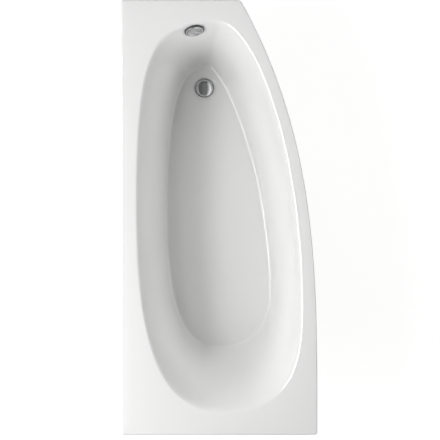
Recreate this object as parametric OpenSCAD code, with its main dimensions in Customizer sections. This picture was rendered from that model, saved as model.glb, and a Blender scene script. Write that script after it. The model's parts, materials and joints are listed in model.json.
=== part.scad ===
// Offset bath for one bather: straight against the wall, straight across both ends, with a front
// edge that sweeps out from a narrow tap end to a wide foot end round an egg-shaped well.
// A vacuum-formed acrylic shell is stiffened with glass fibre, a base board and timber battens.
// It stands on two steel cradle bars with five screw feet. A turning knob on the overflow works the
// pop-up plug through a cable and a rocker, and a shallow trap hangs below the waste.
// +X points to the tap end, +Y to the wall and +Z up, from the floor under the middle of the bath.

/* [Rim] */
// Overall length
bath_length = 1550; // [1450:10:1700]
// Overall width at the foot end
bath_width = 700; // [660:10:800]
// Width of the tap end
tap_end_width = 426; // [390:2:470]
// Height of the rim above the floor
rim_height = 560; // [550:5:620]
// Straight length of the front edge beside the foot end
front_straight = 88; // [40:4:160]
// Power of the front edge's sweep
front_power = 3; // [2.5:0.25:3.5]
// Rim width at the tap end
tap_rim = 75; // [68:1:90]
// Rim width along the wall
back_rim = 55; // [50:1:70]
// Rim width at the foot end
foot_rim = 83; // [70:1:100]
// Rim width at the widest part of the front
front_rim = 52; // [50:1:70]
// Leg of each rounded outer corner
corner_leg = 10; // [9:1:16]
// Radius of the rim's outer edge
edge_r = 5; // [3:0.5:6]
// Depth of the turned-down skirt below the rim's top
skirt_depth = 35; // [30:1:35]

/* [Well] */
// Height of the well's floor above the ground, at the waste
floor_height = 160; // [155:5:200]
// Thickness of the acrylic
shell_t = 5; // [4:0.5:6]
// Distance of the well's tap end from the wall side
well_tap_from_wall = 340; // [320:2:350]
// Place of the well's widest point on the wall side: 0 at mid length and 1 at the tap end
well_back_at = 0.058; // [0:0.002:0.12]
// Distance of the well's foot end from the middle line, towards the wall
well_foot_y = -15; // [-40:5:10]
// Place of the well's widest point at the front: 0 at mid length and -1 at the foot end
well_front_at = -0.445; // [-0.5:0.005:-0.4]
// Run of the tap-end wall between rim and floor
tap_wall_run = 153; // [130:1:175]
// Run of the wall-side wall
back_wall_run = 109; // [95:1:125]
// Run of the backrest
foot_wall_run = 226; // [200:2:250]
// Run of the front wall
front_wall_run = 110; // [95:1:125]
// Distance of the floor's tap end from the wall side
floor_tap_from_wall = 309; // [298:1:320]
// Place of the floor's widest point on the wall side
floor_back_at = 0.005; // [-0.04:0.005:0.05]
// Distance of the floor's foot end from the middle line
floor_foot_y = 0; // [-20:5:20]
// Place of the floor's widest point at the front
floor_front_at = -0.357; // [-0.4:0.001:-0.31]
// Power of the wall's curve: 1 is a straight wall
wall_power = 1.3; // [1.2:0.05:1.6]
// Fall of the floor to the waste, in degrees
floor_fall = 0.5; // [0.3:0.1:0.8]
// Height of the rolled edge between rim and wall
roll_drop = 12; // [10:1:16]
// Reach of the rolled edge over the rim
roll_reach = 6; // [4:1:8]
// Height of the curve between wall and floor
fillet_drop = 28; // [22:1:36]
// Reach of that curve over the floor
fillet_reach = 20; // [14:1:26]

/* [Backing and frame] */
// Thickness of the glass-fibre backing
backing_t = 4; // [3:0.5:5]
// Thickness of the base board
board_t = 18; // [15:1:20]
// Margin between the floor's edge and the board
board_margin = 32; // [26:2:44]
// Gap between the board's end and the waste's centre
board_waste_gap = 70; // [62:2:100]
// Width of the rim battens
batten_w = 22; // [18:1:24]
// Height of the rim battens
batten_h = 28; // [25:1:32]
// Free length between a batten's end and the corner
batten_stop = 70; // [60:5:120]

/* [Cradle and feet] */
// Distance of the tap-end cradle bar from the tap end
tap_bar_from_end = 475; // [455:5:500]
// Distance of the foot-end cradle bar from the foot end
foot_bar_from_end = 435; // [415:5:470]
// Width of a cradle bar
bar_w = 50; // [44:2:60]
// Height of a cradle bar
bar_h = 25; // [22:1:28]
// Wall of a cradle bar
bar_wall = 2; // [1.5:0.5:3]
// Distance of the wall-side feet from the wall side
back_foot_in = 80; // [60:5:100]
// Distance of the front foot at the tap end from the front edge
tap_front_foot_in = 71; // [60:1:90]
// Distance of the front foot at the foot end from the front edge
foot_front_foot_in = 76; // [60:1:100]
// Radius of a foot's threaded stud
stud_r = 5; // [4:0.5:6]
// Radius of a foot's pad
pad_r = 26; // [22:1:32]
// Height of a foot's pad
pad_h = 14; // [12:1:18]
// Height of a lock nut
nut_h = 8; // [6:1:9]
// Most that a foot screws in, from its rest
foot_rise = 10; // [5:1:12]

/* [Wall brackets] */
// Distance of each wall bracket from its end of the bath
bracket_from_end = 295; // [255:10:355]
// Width of a wall bracket
bracket_w = 70; // [64:2:90]
// Height of a wall bracket's upright
bracket_h = 60; // [50:5:80]
// Thickness of a wall bracket
bracket_t = 3; // [2:0.5:4]
// Distance between a bracket's two slots
slot_spacing = 40; // [36:1:44]
// Length of a slot
slot_length = 14; // [12:1:18]
// Width of a slot
slot_w = 6.5; // [5.5:0.5:7.5]

/* [Waste and plug] */
// Distance of the waste from the tap end
waste_from_end = 310; // [305:5:330]
// Distance of the waste from the wall side
waste_from_wall = 297; // [292:1:305]
// Radius of the waste hole
waste_hole_r = 26; // [25.5:0.5:28]
// Radius of the dish round the waste
dish_r = 46; // [44:1:50]
// Depth of the dish
dish_depth = 3; // [2:0.5:4]
// Radius of the chrome flange
flange_r = 35.5; // [34.5:0.5:37]
// Radius of the plug's cap
cap_r = 30.5; // [29.5:0.5:31]
// Radius of the flange's neck
neck_r = 22; // [21.5:0.25:22.5]
// Wall of the flange's neck
neck_wall = 2.5; // [2:0.25:3]
// Radius of the plug's stem
stem_r = 3; // [2.5:0.25:3.5]
// Lift of the plug
plug_lift = 10; // [8:1:11]

/* [Overflow] */
// Place of the overflow round the tap end's corner, 0 at the tap end and 1 at the wall side
overflow_at = 0.13; // [0.09:0.01:0.17]
// Depth of the overflow's centre below the rim
overflow_drop = 36; // [35:1:46]
// Radius of the overflow hole
overflow_hole_r = 26; // [25:0.5:27]
// Radius of the chrome rosette
rosette_r = 35.5; // [34:0.5:37]
// Height of the rosette off the wall
rosette_h = 9; // [8.5:0.5:10]
// Radius of the control knob
knob_r = 25; // [24:0.5:27]
// Turn of the control knob, in degrees
knob_turn = 90; // [80:5:100]
// Radius of the knob's spindle
spindle_r = 4; // [3.5:0.25:5]

/* [Hose, cable and trap] */
// Radius of the overflow hose over its ribs
hose_r = 14; // [13:0.5:15]
// Radius of the overflow hose's bore
hose_bore_r = 10.3; // [10:0.1:10.5]
// Distance between the hose's ribs
rib_pitch = 6; // [5:0.5:8]
// Radius of the control cable
cable_r = 2.5; // [2:0.25:3]
// Outer radius of the trap's pipe
trap_r = 21.5; // [21:0.25:22.5]
// Wall of the trap's pipe
trap_wall = 2.5; // [2:0.25:3]
// Bend radius of the trap's bend
trap_bend_r = 34; // [33:0.5:36]
// Height of the trap's inlet above the middle of its bend
trap_rise = 34; // [33:1:38]
// Radius of the outlet's bore, for the pipe that pushes in
outlet_bore_r = 21.7; // [21.5:0.1:22]
// Depth of the outlet's socket
outlet_depth = 26; // [22:1:32]

/* [Hidden] */
$fn = 64;

// Clearances
run_gap = 0.05;   // radial, between a shaft and its bearing
seat_gap = 0.3;   // between loose pieces that lie on each other
skin_gap = 0.2;   // between acrylic and glass fibre
screw_gap = 0.2;  // radial, round a screw in its hole
cut = 1;          // by which a cutter passes a face

// ---- The rim's outline and the well's two curves, one point for each sector ----
quarter = 20;                    // sectors from one extreme of the well to the next
corner_steps = 4;                // sectors round one outer corner
corner_from = [8, 8, 8, 14];     // sectors before each quarter's corner; few are left at the narrow end
sectors = 4 * quarter;

half_length = bath_length / 2;
half_width = bath_width / 2;
front_drop = bath_width - tap_end_width;            // by which the tap end stands back
front_start_x = front_straight - half_length;       // where the front edge begins to sweep
front_run = bath_length - front_straight;
waste_x = half_length - waste_from_end;
waste_y = half_width - waste_from_wall;
well_tap_y = half_width - well_tap_from_wall;
well_back_x = well_back_at * half_length;
well_front_x = well_front_at * half_length;

// Extremes of the well's edge and of the floor's edge: tap end, wall side, foot end, front
well_ends = [
    [half_length - tap_rim, well_tap_y],
    [well_back_x, half_width - back_rim],
    [foot_rim - half_length, well_foot_y],
    [well_front_x, front_rim - half_width + front_inset(well_front_x)]
];
floor_ends = [
    [well_ends[0].x - tap_wall_run, half_width - floor_tap_from_wall],
    [floor_back_at * half_length, well_ends[1].y - back_wall_run],
    [well_ends[2].x + foot_wall_run, floor_foot_y],
    [floor_front_at * half_length, well_ends[3].y + front_wall_run]
];
// Fullness of each corner at its start and end: 0.55 is an ellipse, 1 is square
well_fullness = [[0.81, 0.85], [0.70, 0.72], [0.61, 0.78], [0.58, 0.43]];
floor_fullness = [[0.72, 0.70], [0.75, 0.62], [0.52, 0.59], [0.53, 0.27]];

function front_inset(x) = front_drop * pow(max(0, x - front_start_x) / front_run, front_power);
function front_slope(x) =
    front_drop * front_power / front_run * pow(max(0, x - front_start_x) / front_run, front_power - 1);

function mix(a, b, t) = a + (b - a) * t;
function unit(v) = v / norm(v);
function cubic(a, b, c, d, t) =
    pow(1 - t, 3) * a + 3 * pow(1 - t, 2) * t * b + 3 * (1 - t) * t * t * c + pow(t, 3) * d;
function quadratic(a, b, c, t) = pow(1 - t, 2) * a + 2 * (1 - t) * t * b + t * t * c;
function quadratic_way(a, b, c, t) = mix(b - a, c - b, t);

// A closed curve of four quarters, flat at each extreme; place runs from 0 to 4
function egg(ends, fullness, place) =
    let (
        q = floor(place) % 4,
        t = place - floor(place),
        a = ends[q],
        d = ends[(q + 1) % 4],
        full = fullness[q],
        b = q % 2 == 1 ? [mix(a.x, d.x, full[0]), a.y] : [a.x, mix(a.y, d.y, full[0])],
        c = q % 2 == 1 ? [d.x, mix(d.y, a.y, full[1])] : [mix(d.x, a.x, full[1]), d.y]
    )
    cubic(a, b, c, d, t);

// One quarter of the outline, as [point, outward normal]: along a side, round a corner, along the next
function round_corner(a, corner, c, t) =
    let (way = unit(quadratic_way(a, corner, c, t)))
    [quadratic(a, corner, c, t), [way.y, -way.x]];
function plain_side(a, b, t) = let (way = unit(b - a)) [mix(a, b, t), [way.y, -way.x]];
function front_side(x1, x2, t) =
    let (x = mix(x1, x2, t))
    [[x, front_inset(x) - half_width], unit([front_slope(x), -1])];
function outline_quarter(q, k) =
    let (
        sx = q == 0 || q == 3 ? 1 : -1,
        sy = q < 2 ? 1 : -1,
        leg_x = sx * (half_length - corner_leg),
        corner = [sx * half_length, sy > 0 ? half_width : front_inset(leg_x) - half_width
            + corner_leg * front_slope(leg_x) * sx],
        end_pt = [corner.x, corner.y - sy * corner_leg],
        side_pt = [leg_x, sy > 0 ? half_width : front_inset(leg_x) - half_width],
        end_mid = [corner.x, q == 0 || q == 3 ? well_tap_y : well_foot_y],
        side_mid_x = q < 2 ? well_back_x : well_front_x,
        before = corner_from[q],
        past = before + corner_steps,
        on_end = q % 2 == 0 ? k <= before : k >= past,
        on_corner = k > before && k < past,
        t = k <= before ? k / before
            : on_corner ? (k - before) / corner_steps
            : (k - past) / (quarter - past)
    )
    on_corner ? (q % 2 == 0 ? round_corner(end_pt, corner, side_pt, t)
                            : round_corner(side_pt, corner, end_pt, t))
    : on_end ? (q % 2 == 0 ? plain_side(end_mid, end_pt, t) : plain_side(end_pt, end_mid, t))
    : q == 0 ? plain_side(side_pt, [side_mid_x, half_width], t)
    : q == 1 ? plain_side([side_mid_x, half_width], side_pt, t)
    : q == 2 ? front_side(leg_x, side_mid_x, t)
    : front_side(side_mid_x, leg_x, t);

outline = [for (j = [0:sectors - 1]) outline_quarter(floor(j / quarter), j % quarter)];
well_edge = [for (j = [0:sectors - 1]) egg(well_ends, well_fullness, j / quarter)];
floor_edge = [for (j = [0:sectors - 1]) egg(floor_ends, floor_fullness, j / quarter)];
wall_way = [for (j = [0:sectors - 1]) unit(floor_edge[j] - well_edge[j])];
wall_run = [for (j = [0:sectors - 1]) norm(floor_edge[j] - well_edge[j])];

// ---- Heights ----
function floor_at(x) = floor_height + (waste_x - x) * tan(floor_fall);
dish_z = floor_height - dish_depth;
skirt_z = rim_height - skirt_depth;

// ---- Sections through the wall: [run from the well's edge, height, angle of descent] ----
function wall_share(drop, depth) = pow(drop / depth, 1 / wall_power);
function wall_steep(share, depth, run) = wall_power * depth / run * pow(share, wall_power - 1);

function roll_section(depth, run, t) =
    let (
        s = run * wall_share(roll_drop, depth),
        steep = wall_steep(wall_share(roll_drop, depth), depth, run),
        a = [-roll_reach, rim_height],
        b = [s - roll_drop / steep, rim_height],
        c = [s, rim_height - roll_drop],
        p = quadratic(a, b, c, t),
        way = quadratic_way(a, b, c, t)
    )
    [p.x, p.y, atan2(-way.y, way.x)];
function wall_section(depth, run, t) =
    let (
        drop = mix(roll_drop, depth - fillet_drop, t),
        share = wall_share(drop, depth)
    )
    [run * share, rim_height - drop, atan(wall_steep(share, depth, run))];
function fillet_section(depth, run, t) =
    let (
        share = wall_share(depth - fillet_drop, depth),
        steep = wall_steep(share, depth, run),
        low = rim_height - depth,
        a = [run * share, low + fillet_drop],
        b = [run * share + fillet_drop / steep, low],
        c = [b.x + fillet_reach, low],
        p = quadratic(a, b, c, t),
        way = quadratic_way(a, b, c, t)
    )
    [p.x, p.y, atan2(-way.y, way.x)];

// The section's stations: 0 to 1 is the roll, 1 to 2 the wall and 2 to 3 the curve to the floor
function section(depth, run, station) =
    station < 1 ? roll_section(depth, run, station)
    : station < 2 ? wall_section(depth, run, station - 1)
    : fillet_section(depth, run, station - 2);

// A point of the inner face, moved out through the wall by the depth given
function face_point(j, station, depth_in) =
    let (
        depth = rim_height - floor_at(floor_edge[j].x),
        cutline = section(depth, wall_run[j], station),
        s = cutline[0] - depth_in * sin(cutline[2]),
        xy = well_edge[j] + wall_way[j] * s,
        level = max(0, station - 2) * (floor_at(xy.x) - floor_at(floor_edge[j].x))
    )
    [xy.x, xy.y, cutline[1] + level - depth_in * cos(cutline[2])];
function face_ring(station, depth_in) = [for (j = [0:sectors - 1]) face_point(j, station, depth_in)];
function edge_ring(inset, z) = [
    for (j = [0:sectors - 1])
        let (p = outline[j][0] - outline[j][1] * inset)
        [p.x, p.y, z]
];
// A ring round the waste whose points face those of the floor's edge; it lies on the floor's slope
// where level is undef
function waste_ring(r, level, depth_in = 0) = [
    for (j = [0:sectors - 1])
        let (
            way = unit([for (i = [0:1]) face_point(j, 3, 0)[i]] - [waste_x, waste_y]),
            p = [waste_x, waste_y] + way * r
        )
        [p.x, p.y, (is_undef(level) ? floor_at(p.x) : level) - depth_in]
];

inner_stations = [0, 0.33, 0.67, 1, 1.04, 1.1, 1.2, 1.32, 1.46, 1.62, 1.8, 2, 2.25, 2.5, 2.75, 3];
outer_stations = [3, 2.5, 2, 1.62, 1.32, 1.1, 1, 0.5, 0];
edge_angles = [0, 30, 60, 90];

// Skin closed over its rings, which run round the section and meet again at the first. Its facets
// lean one way or the other, so that two skins can lie face to face
module ring_skin(rings, lean_back = false) {
    n = len(rings);
    points = [for (ring = rings) each ring];
    faces = [
        for (r = [0:n - 1], j = [0:sectors - 1])
            let (
                r2 = (r + 1) % n,
                j2 = (j + 1) % sectors,
                a = r * sectors + j,
                b = r * sectors + j2,
                c = r2 * sectors + j2,
                d = r2 * sectors + j
            )
            each lean_back ? [[a, d, b], [b, d, c]] : [[a, c, b], [a, d, c]]
    ];
    polyhedron(points = points, faces = faces, convexity = 8);
}

// ---- Places on the wall of the well ----
// Point of the inner face at a place round the well and a share of the wall's run
function wall_point(place, share) =
    let (
        edge = egg(well_ends, well_fullness, place),
        foot = egg(floor_ends, floor_fullness, place),
        xy = mix(edge, foot, share),
        depth = rim_height - floor_at(foot.x)
    )
    [xy.x, xy.y, rim_height - depth * pow(share, wall_power)];
tiny = 0.001;
overflow_share = wall_share(
    overflow_drop, rim_height - floor_at(egg(floor_ends, floor_fullness, overflow_at).x)
);
overflow_pos = wall_point(overflow_at, overflow_share);
// Normal of the wall there, into the bath
overflow_normal = unit(cross(
    wall_point(overflow_at + tiny, overflow_share) - overflow_pos,
    wall_point(overflow_at, overflow_share + tiny) - overflow_pos
));
overflow_tilt = acos(overflow_normal.z);
overflow_turn = atan2(-overflow_normal.y, -overflow_normal.x);
// Local +Z points into the bath, +X up the wall and Y along it
module at_overflow() {
    translate(overflow_pos) rotate([0, -overflow_tilt, overflow_turn]) children();
}
function from_overflow(p) =
    let (
        x = p.x * cos(overflow_tilt) - p.z * sin(overflow_tilt),
        z = p.x * sin(overflow_tilt) + p.z * cos(overflow_tilt)
    )
    overflow_pos + [
        x * cos(overflow_turn) - p.y * sin(overflow_turn),
        x * sin(overflow_turn) + p.y * cos(overflow_turn),
        z
    ];

// ---- Levels under the floor ----
backing_in = shell_t + skin_gap;                     // from the inner face to the backing
board_in = backing_in + backing_t;                   // from the inner face to the board
bar_in = board_in + board_t;
// Local X starts at the waste; local Z = 0 is the floor's top, which falls to the waste
module on_floor() {
    translate([waste_x, 0, floor_height]) rotate([0, floor_fall, 0]) children();
}
function bar_bottom(x) = floor_at(x) - (bar_in + bar_h) / cos(floor_fall);
function bar_top(x) = floor_at(x) - bar_in / cos(floor_fall);

tap_bar_x = half_length - tap_bar_from_end;
foot_bar_x = foot_bar_from_end - half_length;
back_foot_y = half_width - back_foot_in;
tap_front_foot_y = front_inset(tap_bar_x) - half_width + tap_front_foot_in;
foot_front_foot_y = front_inset(foot_bar_x) - half_width + foot_front_foot_in;
// Feet: [x, y]
foot_places = [
    [tap_bar_x, back_foot_y],
    [tap_bar_x, tap_front_foot_y],
    [foot_bar_x, back_foot_y],
    [foot_bar_x, foot_front_foot_y],
    [(tap_bar_x + foot_bar_x) / 2, (floor_ends[1].y + floor_ends[3].y) / 2]
];
plate_t = 4;                   // centre foot plate
plate_size = 90;
plate_boss_r = 11;
foot_drop = 20;                // most that a foot screws out, from its rest
plate_boss_h = foot_drop + foot_rise;
stud_bottom = 5;               // the stud's end inside the pad
stud_spare = foot_drop + nut_h; // stud left above the upper lock nut
nut_r = 9.5;
screw_r = 2.5;
screw_head_r = 5;
screw_head_h = 3;
screw_bite = 14;               // thread in the wood

// ---- Waste, from the top down ----
washer_t = 1.5;                                     // rubber under the flange
gasket_t = 3;                                       // rubber under the shell
flange_z = dish_z + washer_t;                       // underside of the flange
flange_lip = 2.5;                                   // height of the flange's rim
flange_plate = 1.2;                                 // thickness inside the rim
flange_step_r = cap_r + 0.7;
seat_z = flange_z + flange_plate;
cap_z = seat_z + seat_gap;                          // lower edge of the cap
cap_edge = 0.9;                                     // height of the cap's edge
cap_dome = 5.5;                                     // rise of the cap above its edge
cap_web_z = cap_z + 0.6;                            // underside of the cap's web
body_z = dish_z - shell_t - gasket_t;               // top of the waste body
neck_depth = 26;                                    // of the flange's neck below its underside
neck_z = flange_z - neck_depth;
body_flange_t = 4;
body_r = 30;
chamber_r = 26.5;
chamber_top = neck_z - 0.5;
chamber_depth = 17;
chamber_z = chamber_top - chamber_depth;
tail_r = 23.5;
tail_bore_r = 18.5;
tail_top = chamber_z - 4;
tail_z = tail_top - 12;                             // lower end of the tail
hub_r = 6.5;                                        // stem guide in the neck
hub_h = 12;
hub_z = neck_z + 4;
// The rocker turns on a shaft across the chamber and lifts the stem with its arm
rocker_x = 20;                                      // shaft's distance from the stem
rocker_z = chamber_z + 8.5;
rocker_shaft_r = 3;
rocker_turn = atan(plug_lift / 2 / rocker_x);       // to each side of level
arm_t = 3.5;
arm_w = 8;
arm_reach = rocker_x + 4;
crank_y = -29;                                      // middle of the crank, from the waste
crank_t = 3;
crank_r = 14;                                       // shaft to crank pin
crank_pin_r = 1.5;
wire_r = 1;
eye_r = 3.6;
eye_gap = 0.6;
stem_z = rocker_z - plug_lift / 2 + seat_gap;       // lower end of the stem at rest
stem_tip = 1.2;                                     // height of the cone at that end
cable_y = crank_y - crank_t / 2 - 2.3;              // line of the wire beside the crank
cable_z = rocker_z + crank_r * (1 + cos(rocker_turn)) / 2;
cable_stop_x = 46;
cable_stop_t = 4;
stop_arm_x = body_r - 3.2;
ferrule_r = 3.5;
stop_half = ferrule_r + 1.5;
ferrule_bore_r = 1.3;
ferrule_l = 40;
ferrule_x = cable_stop_x + cable_stop_t;
wire_tail = 24;                                     // wire's length inside the ferrule

// Hose port on the waste body, towards the taps
port_r = hose_bore_r - seat_gap;
port_bore_r = port_r - 2;
port_z = chamber_z + 9;
port_end = 44;                                      // from the waste
hose_start_x = 34;
hose_nut_r = 17.5;
hose_nut_l = 20;

// ---- Overflow, in its own frame: the wall's inner face is at 0 ----
wall_bow_in = 2.3;              // the wall's inner face rises this far under the rosette's edge
wall_bow_out = 2.9;             // and its outer face falls away this far
gasket_front = -shell_t - wall_bow_out;
gasket_back = gasket_front - 5;
cup_r = 25;
cup_wall = 2.5;
cup_depth = 26;
cup_back = gasket_back - cup_depth;
cup_mid = (gasket_back + cup_back) / 2;
rosette_back = wall_bow_in;
rosette_skirt = 2;
spoke_t = 3;
spoke_w = 5;
knob_back = rosette_back + spoke_t + seat_gap;
knob_t = 3.5;
knob_grip_w = 9;
knob_grip_h = 3.5;
spindle_l = 22;                 // behind the knob
bearing_r = 8;
spigot_pos = from_overflow([0, 0, cup_mid]);
spigot_l = 54;
spigot_z = spigot_pos.z - spigot_l;
gland_y = 0.8 - hose_nut_r - cable_r - 2.5;
gland_r = 4;
gland_pos = from_overflow([0, gland_y, cup_mid]);
gland_l = 44;
gland_z = gland_pos.z - gland_l;

// ---- Trap, below the waste; its outlet points to the wall ----
trap_bore_r = trap_r - trap_wall;
trap_flange_r = tail_r + 0.5;
trap_flange_t = 3;
trap_washer_t = 2;
trap_top = tail_z - trap_washer_t;
inlet_nut_r = 30;
inlet_nut_top = tail_top - 1;
inlet_nut_lip = 3;
trap_bend_z = trap_top - trap_rise;
riser_y = 2 * trap_bend_r;
elbow_r = 24;
elbow_z = trap_bend_z + 20;
outlet_z = elbow_z + elbow_r;
outlet_y = waste_y + riser_y + elbow_r;
socket_l = outlet_depth + 4;
socket_r = outlet_bore_r + 4;
outlet_seal_t = 4;
outlet_nut_l = 22;
outlet_nut_r = socket_r + 5;
access_r = 12;
access_l = 14;
access_z = trap_bend_z + 14;
access_cap_r = 15.5;
access_cap_t = 7;

// Hose and cable leave their lower fittings level and reach the upper ones upright; between lies
// one bend, a quarter of an ellipse
bend_handle = 0.58;
bend_share = 0.55;                    // height of the bend's end between the two fittings
bend_end_z = mix(port_z, spigot_z, bend_share);
hose_cuff = 30;                       // plain, straight length at each end of the hose
hose_plug_in = 14;                    // by which the hose lies over each spigot
hose_bend_spans = 11;
hose_rise_spans = 5;
cable_lead = 12;                      // straight length at each end of the cable
cable_bend_spans = 12;
cable_rise_spans = 6;
function bend_route(from, to, spans) = [
    for (i = [0:spans])
        cubic(
            from, from + [bend_handle * (to.x - from.x), 0, 0],
            to - [0, 0, bend_handle * (to.z - from.z)], to, i / spans
        )
];
function rise_route(from, to, spans) = [for (i = [1:spans]) mix(from, to, i / spans)];
cable_sides = 8;
hose_sides = 8;
cable_by_hose = [gland_pos.x - spigot_pos.x, gland_pos.y - spigot_pos.y];
tie_shares = [0.15, 0.75];            // places of the ties on the upright part

// ---- Small shapes ----
module tube(r, bore_r, h) {
    difference() {
        cylinder(r = r, h = h);
        translate([0, 0, -cut]) cylinder(r = bore_r, h = h + 2 * cut);
    }
}
// Nut or cap with grip flutes round it; bore_r 0 leaves it whole
module fluted_ring(r, bore_r, h, flutes) {
    difference() {
        cylinder(r = r, h = h);
        if (bore_r > 0) translate([0, 0, -cut]) cylinder(r = bore_r, h = h + 2 * cut);
        for (i = [0:flutes - 1]) rotate(i * 360 / flutes) translate([r + 1, 0, -cut])
            cylinder(r = 2.5, h = h + 2 * cut, $fn = 16);
    }
}
module hex_nut(r, bore_r, h) {
    difference() {
        cylinder(r = r, h = h, $fn = 6);
        translate([0, 0, -cut]) cylinder(r = bore_r, h = h + 2 * cut);
    }
}
// Hexagon-headed screw, head down, whose shank points up from Z = 0
module frame_screw(grip) {
    translate([0, 0, -screw_head_h]) cylinder(r = screw_head_r, h = screw_head_h, $fn = 6);
    cylinder(r = screw_r, h = grip, $fn = 24);
}
module screw_clearance(grip) {
    cylinder(r = screw_r + screw_gap, h = grip, $fn = 24);
}

// Skin swept along a path: rings of points, outer wall first and the bore back, or capped
function path_way(path, i) =
    unit(path[min(i + 1, len(path) - 1)] - path[max(i - 1, 0)]);
function path_ring(path, i, r, sides) =
    let (way = path_way(path, i), side = unit(cross(way, [0, 1, 0])), up = cross(side, way))
    [for (k = [0:sides - 1]) path[i] + r * (cos(360 * k / sides) * side + sin(360 * k / sides) * up)];
module swept_rings(rings, hollow) {
    n = len(rings);
    sides = len(rings[0]);
    points = [for (ring = rings) each ring];
    walls = [
        for (r = [0:(hollow ? n - 1 : n - 2)], k = [0:sides - 1])
            let (
                r2 = (r + 1) % n,
                k2 = (k + 1) % sides,
                a = r * sides + k,
                b = r * sides + k2,
                c = r2 * sides + k2,
                d = r2 * sides + k
            )
            each [[a, b, c], [a, c, d]]
    ];
    caps = hollow ? [] : [
        [for (k = [sides - 1:-1:0]) k],
        [for (k = [0:sides - 1]) (n - 1) * sides + k]
    ];
    polyhedron(points = points, faces = concat(walls, caps), convexity = 8);
}
// Point of a smooth curve through the route at a place counted in points
function smooth_point(route, place) =
    let (
        n = len(route) - 1,
        i = min(floor(place), n - 1),
        t = place - i,
        p0 = route[max(i - 1, 0)],
        p1 = route[i],
        p2 = route[i + 1],
        p3 = route[min(i + 2, n)]
    )
    0.5 * (2 * p1 + (p2 - p0) * t + (2 * p0 - 5 * p1 + 4 * p2 - p3) * t * t
        + (3 * p1 - p0 - 3 * p2 + p3) * pow(t, 3));

// ---- Shell, backing and wood ----
module bath_shell() {
    color("white") difference() {
        ring_skin([
            edge_ring(0, skirt_z),
            for (a = edge_angles) edge_ring(edge_r * (1 - cos(a)), rim_height - edge_r * (1 - sin(a))),
            for (s = inner_stations) face_ring(s, 0),
            waste_ring(dish_r, undef),
            waste_ring(dish_r - dish_depth * 2, dish_z),
            waste_ring(waste_hole_r - 4, dish_z),
            waste_ring(waste_hole_r - 4, dish_z - shell_t),
            waste_ring(dish_r - dish_depth * 2, dish_z - shell_t),
            waste_ring(dish_r, undef, shell_t),
            for (s = outer_stations) face_ring(s, shell_t),
            edge_ring(shell_t, rim_height - shell_t),
            edge_ring(shell_t, skirt_z)
        ]);
        translate([waste_x, waste_y, dish_z - shell_t - cut])
            cylinder(r = waste_hole_r, h = shell_t + 2 * cut);
        at_overflow() translate([0, 0, -shell_t - 6]) cylinder(r = overflow_hole_r, h = shell_t + 12);
    }
}
backing_edge = shell_t + 1;          // outer edge of the backing, in from the rim's edge
backing_end = dish_r + 8;            // it stops short of the waste
module fibreglass_backing() {
    color("tan") difference() {
        ring_skin([
            edge_ring(backing_edge, rim_height - backing_in),
            for (i = [len(outer_stations) - 1:-1:0]) face_ring(outer_stations[i], backing_in),
            waste_ring(backing_end, undef, backing_in),
            waste_ring(backing_end, undef, board_in),
            for (s = outer_stations) face_ring(s, board_in),
            edge_ring(backing_edge, rim_height - board_in)
        ], lean_back = true);
        at_overflow() translate([0, 0, -board_in - 8]) cylinder(r = rosette_r + 3, h = board_in + 14);
    }
}
module base_board() {
    board_outline = [
        for (j = [0:sectors - 1])
            let (p = well_edge[j] + wall_way[j] * (wall_run[j] + board_margin))
            [p.x - waste_x, p.y]
    ];
    centre = foot_places[4];
    color("burlywood") difference() {
        on_floor() translate([0, 0, -bar_in]) difference() {
            linear_extrude(board_t) polygon(board_outline);
            translate([-board_waste_gap, -half_width, -cut])
                cube([bath_length, bath_width, board_t + 2 * cut]);
        }
        for (x = [tap_bar_x, foot_bar_x], y = bar_screw_y) translate([x, y, bar_top(x) - cut])
            screw_clearance(screw_bite + 2 * cut);
        translate([centre.x, centre.y, bar_top(centre.x) - cut]) at_plate_screws()
            screw_clearance(screw_bite + 2 * cut);
    }
}
batten_in = backing_edge + 1;
batten_z = rim_height - board_in - batten_h;
module straight_batten(length) {
    color("burlywood") cube([length, batten_w, batten_h]);
}
module back_batten() {
    color("burlywood") difference() {
        translate([batten_stop - half_length, half_width - batten_in - batten_w, batten_z])
            straight_batten(bath_length - 2 * batten_stop);
        at_bracket_screws(batten_z - cut) screw_clearance(screw_bite + 2 * cut);
    }
}
module tap_end_batten() {
    length = tap_end_width - 2 * batten_stop;
    translate([half_length - batten_in, half_width - batten_stop - length, batten_z])
        rotate(90) straight_batten(length);
}
module foot_end_batten() {
    translate([batten_in + batten_w - half_length, batten_stop - half_width, batten_z])
        rotate(90) straight_batten(bath_width - 2 * batten_stop);
}
module front_batten() {
    steps = 24;
    line = [
        for (i = [0:steps])
            front_side(batten_stop - half_length, half_length - batten_stop, i / steps)
    ];
    outer = [for (p = line) p[0] - p[1] * batten_in];
    inner = [for (i = [steps:-1:0]) line[i][0] - line[i][1] * (batten_in + batten_w)];
    color("burlywood") translate([0, 0, batten_z]) linear_extrude(batten_h)
        polygon(concat(outer, inner));
}

// ---- Cradle and feet ----
// Channel across the bath, its web up against the board, with a hole for a foot at each end
bar_end = 28;                        // bar beyond a foot's middle
bar_screw_y = [-90, -30, 40, 100];
module cradle_bar(x, front_y, back_y) {
    color("lightsteelblue") difference() {
        on_floor() translate([x - waste_x - bar_w / 2, front_y - bar_end, -bar_in - bar_h]) difference() {
            cube([bar_w, back_y - front_y + 2 * bar_end, bar_h]);
            translate([bar_wall, -cut, -cut])
                cube([bar_w - 2 * bar_wall, back_y - front_y + 2 * bar_end + 2 * cut,
                    bar_h - bar_wall + cut]);
        }
        for (y = [front_y, back_y]) translate([x, y, bar_bottom(x)])
            cylinder(r = stud_r + seat_gap, h = bar_h + 2 * cut);
        for (y = bar_screw_y) translate([x, y, bar_bottom(x)])
            screw_clearance(bar_h + 2 * cut);
    }
}
module tap_end_cradle_bar() { cradle_bar(tap_bar_x, tap_front_foot_y, back_foot_y); }
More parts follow.
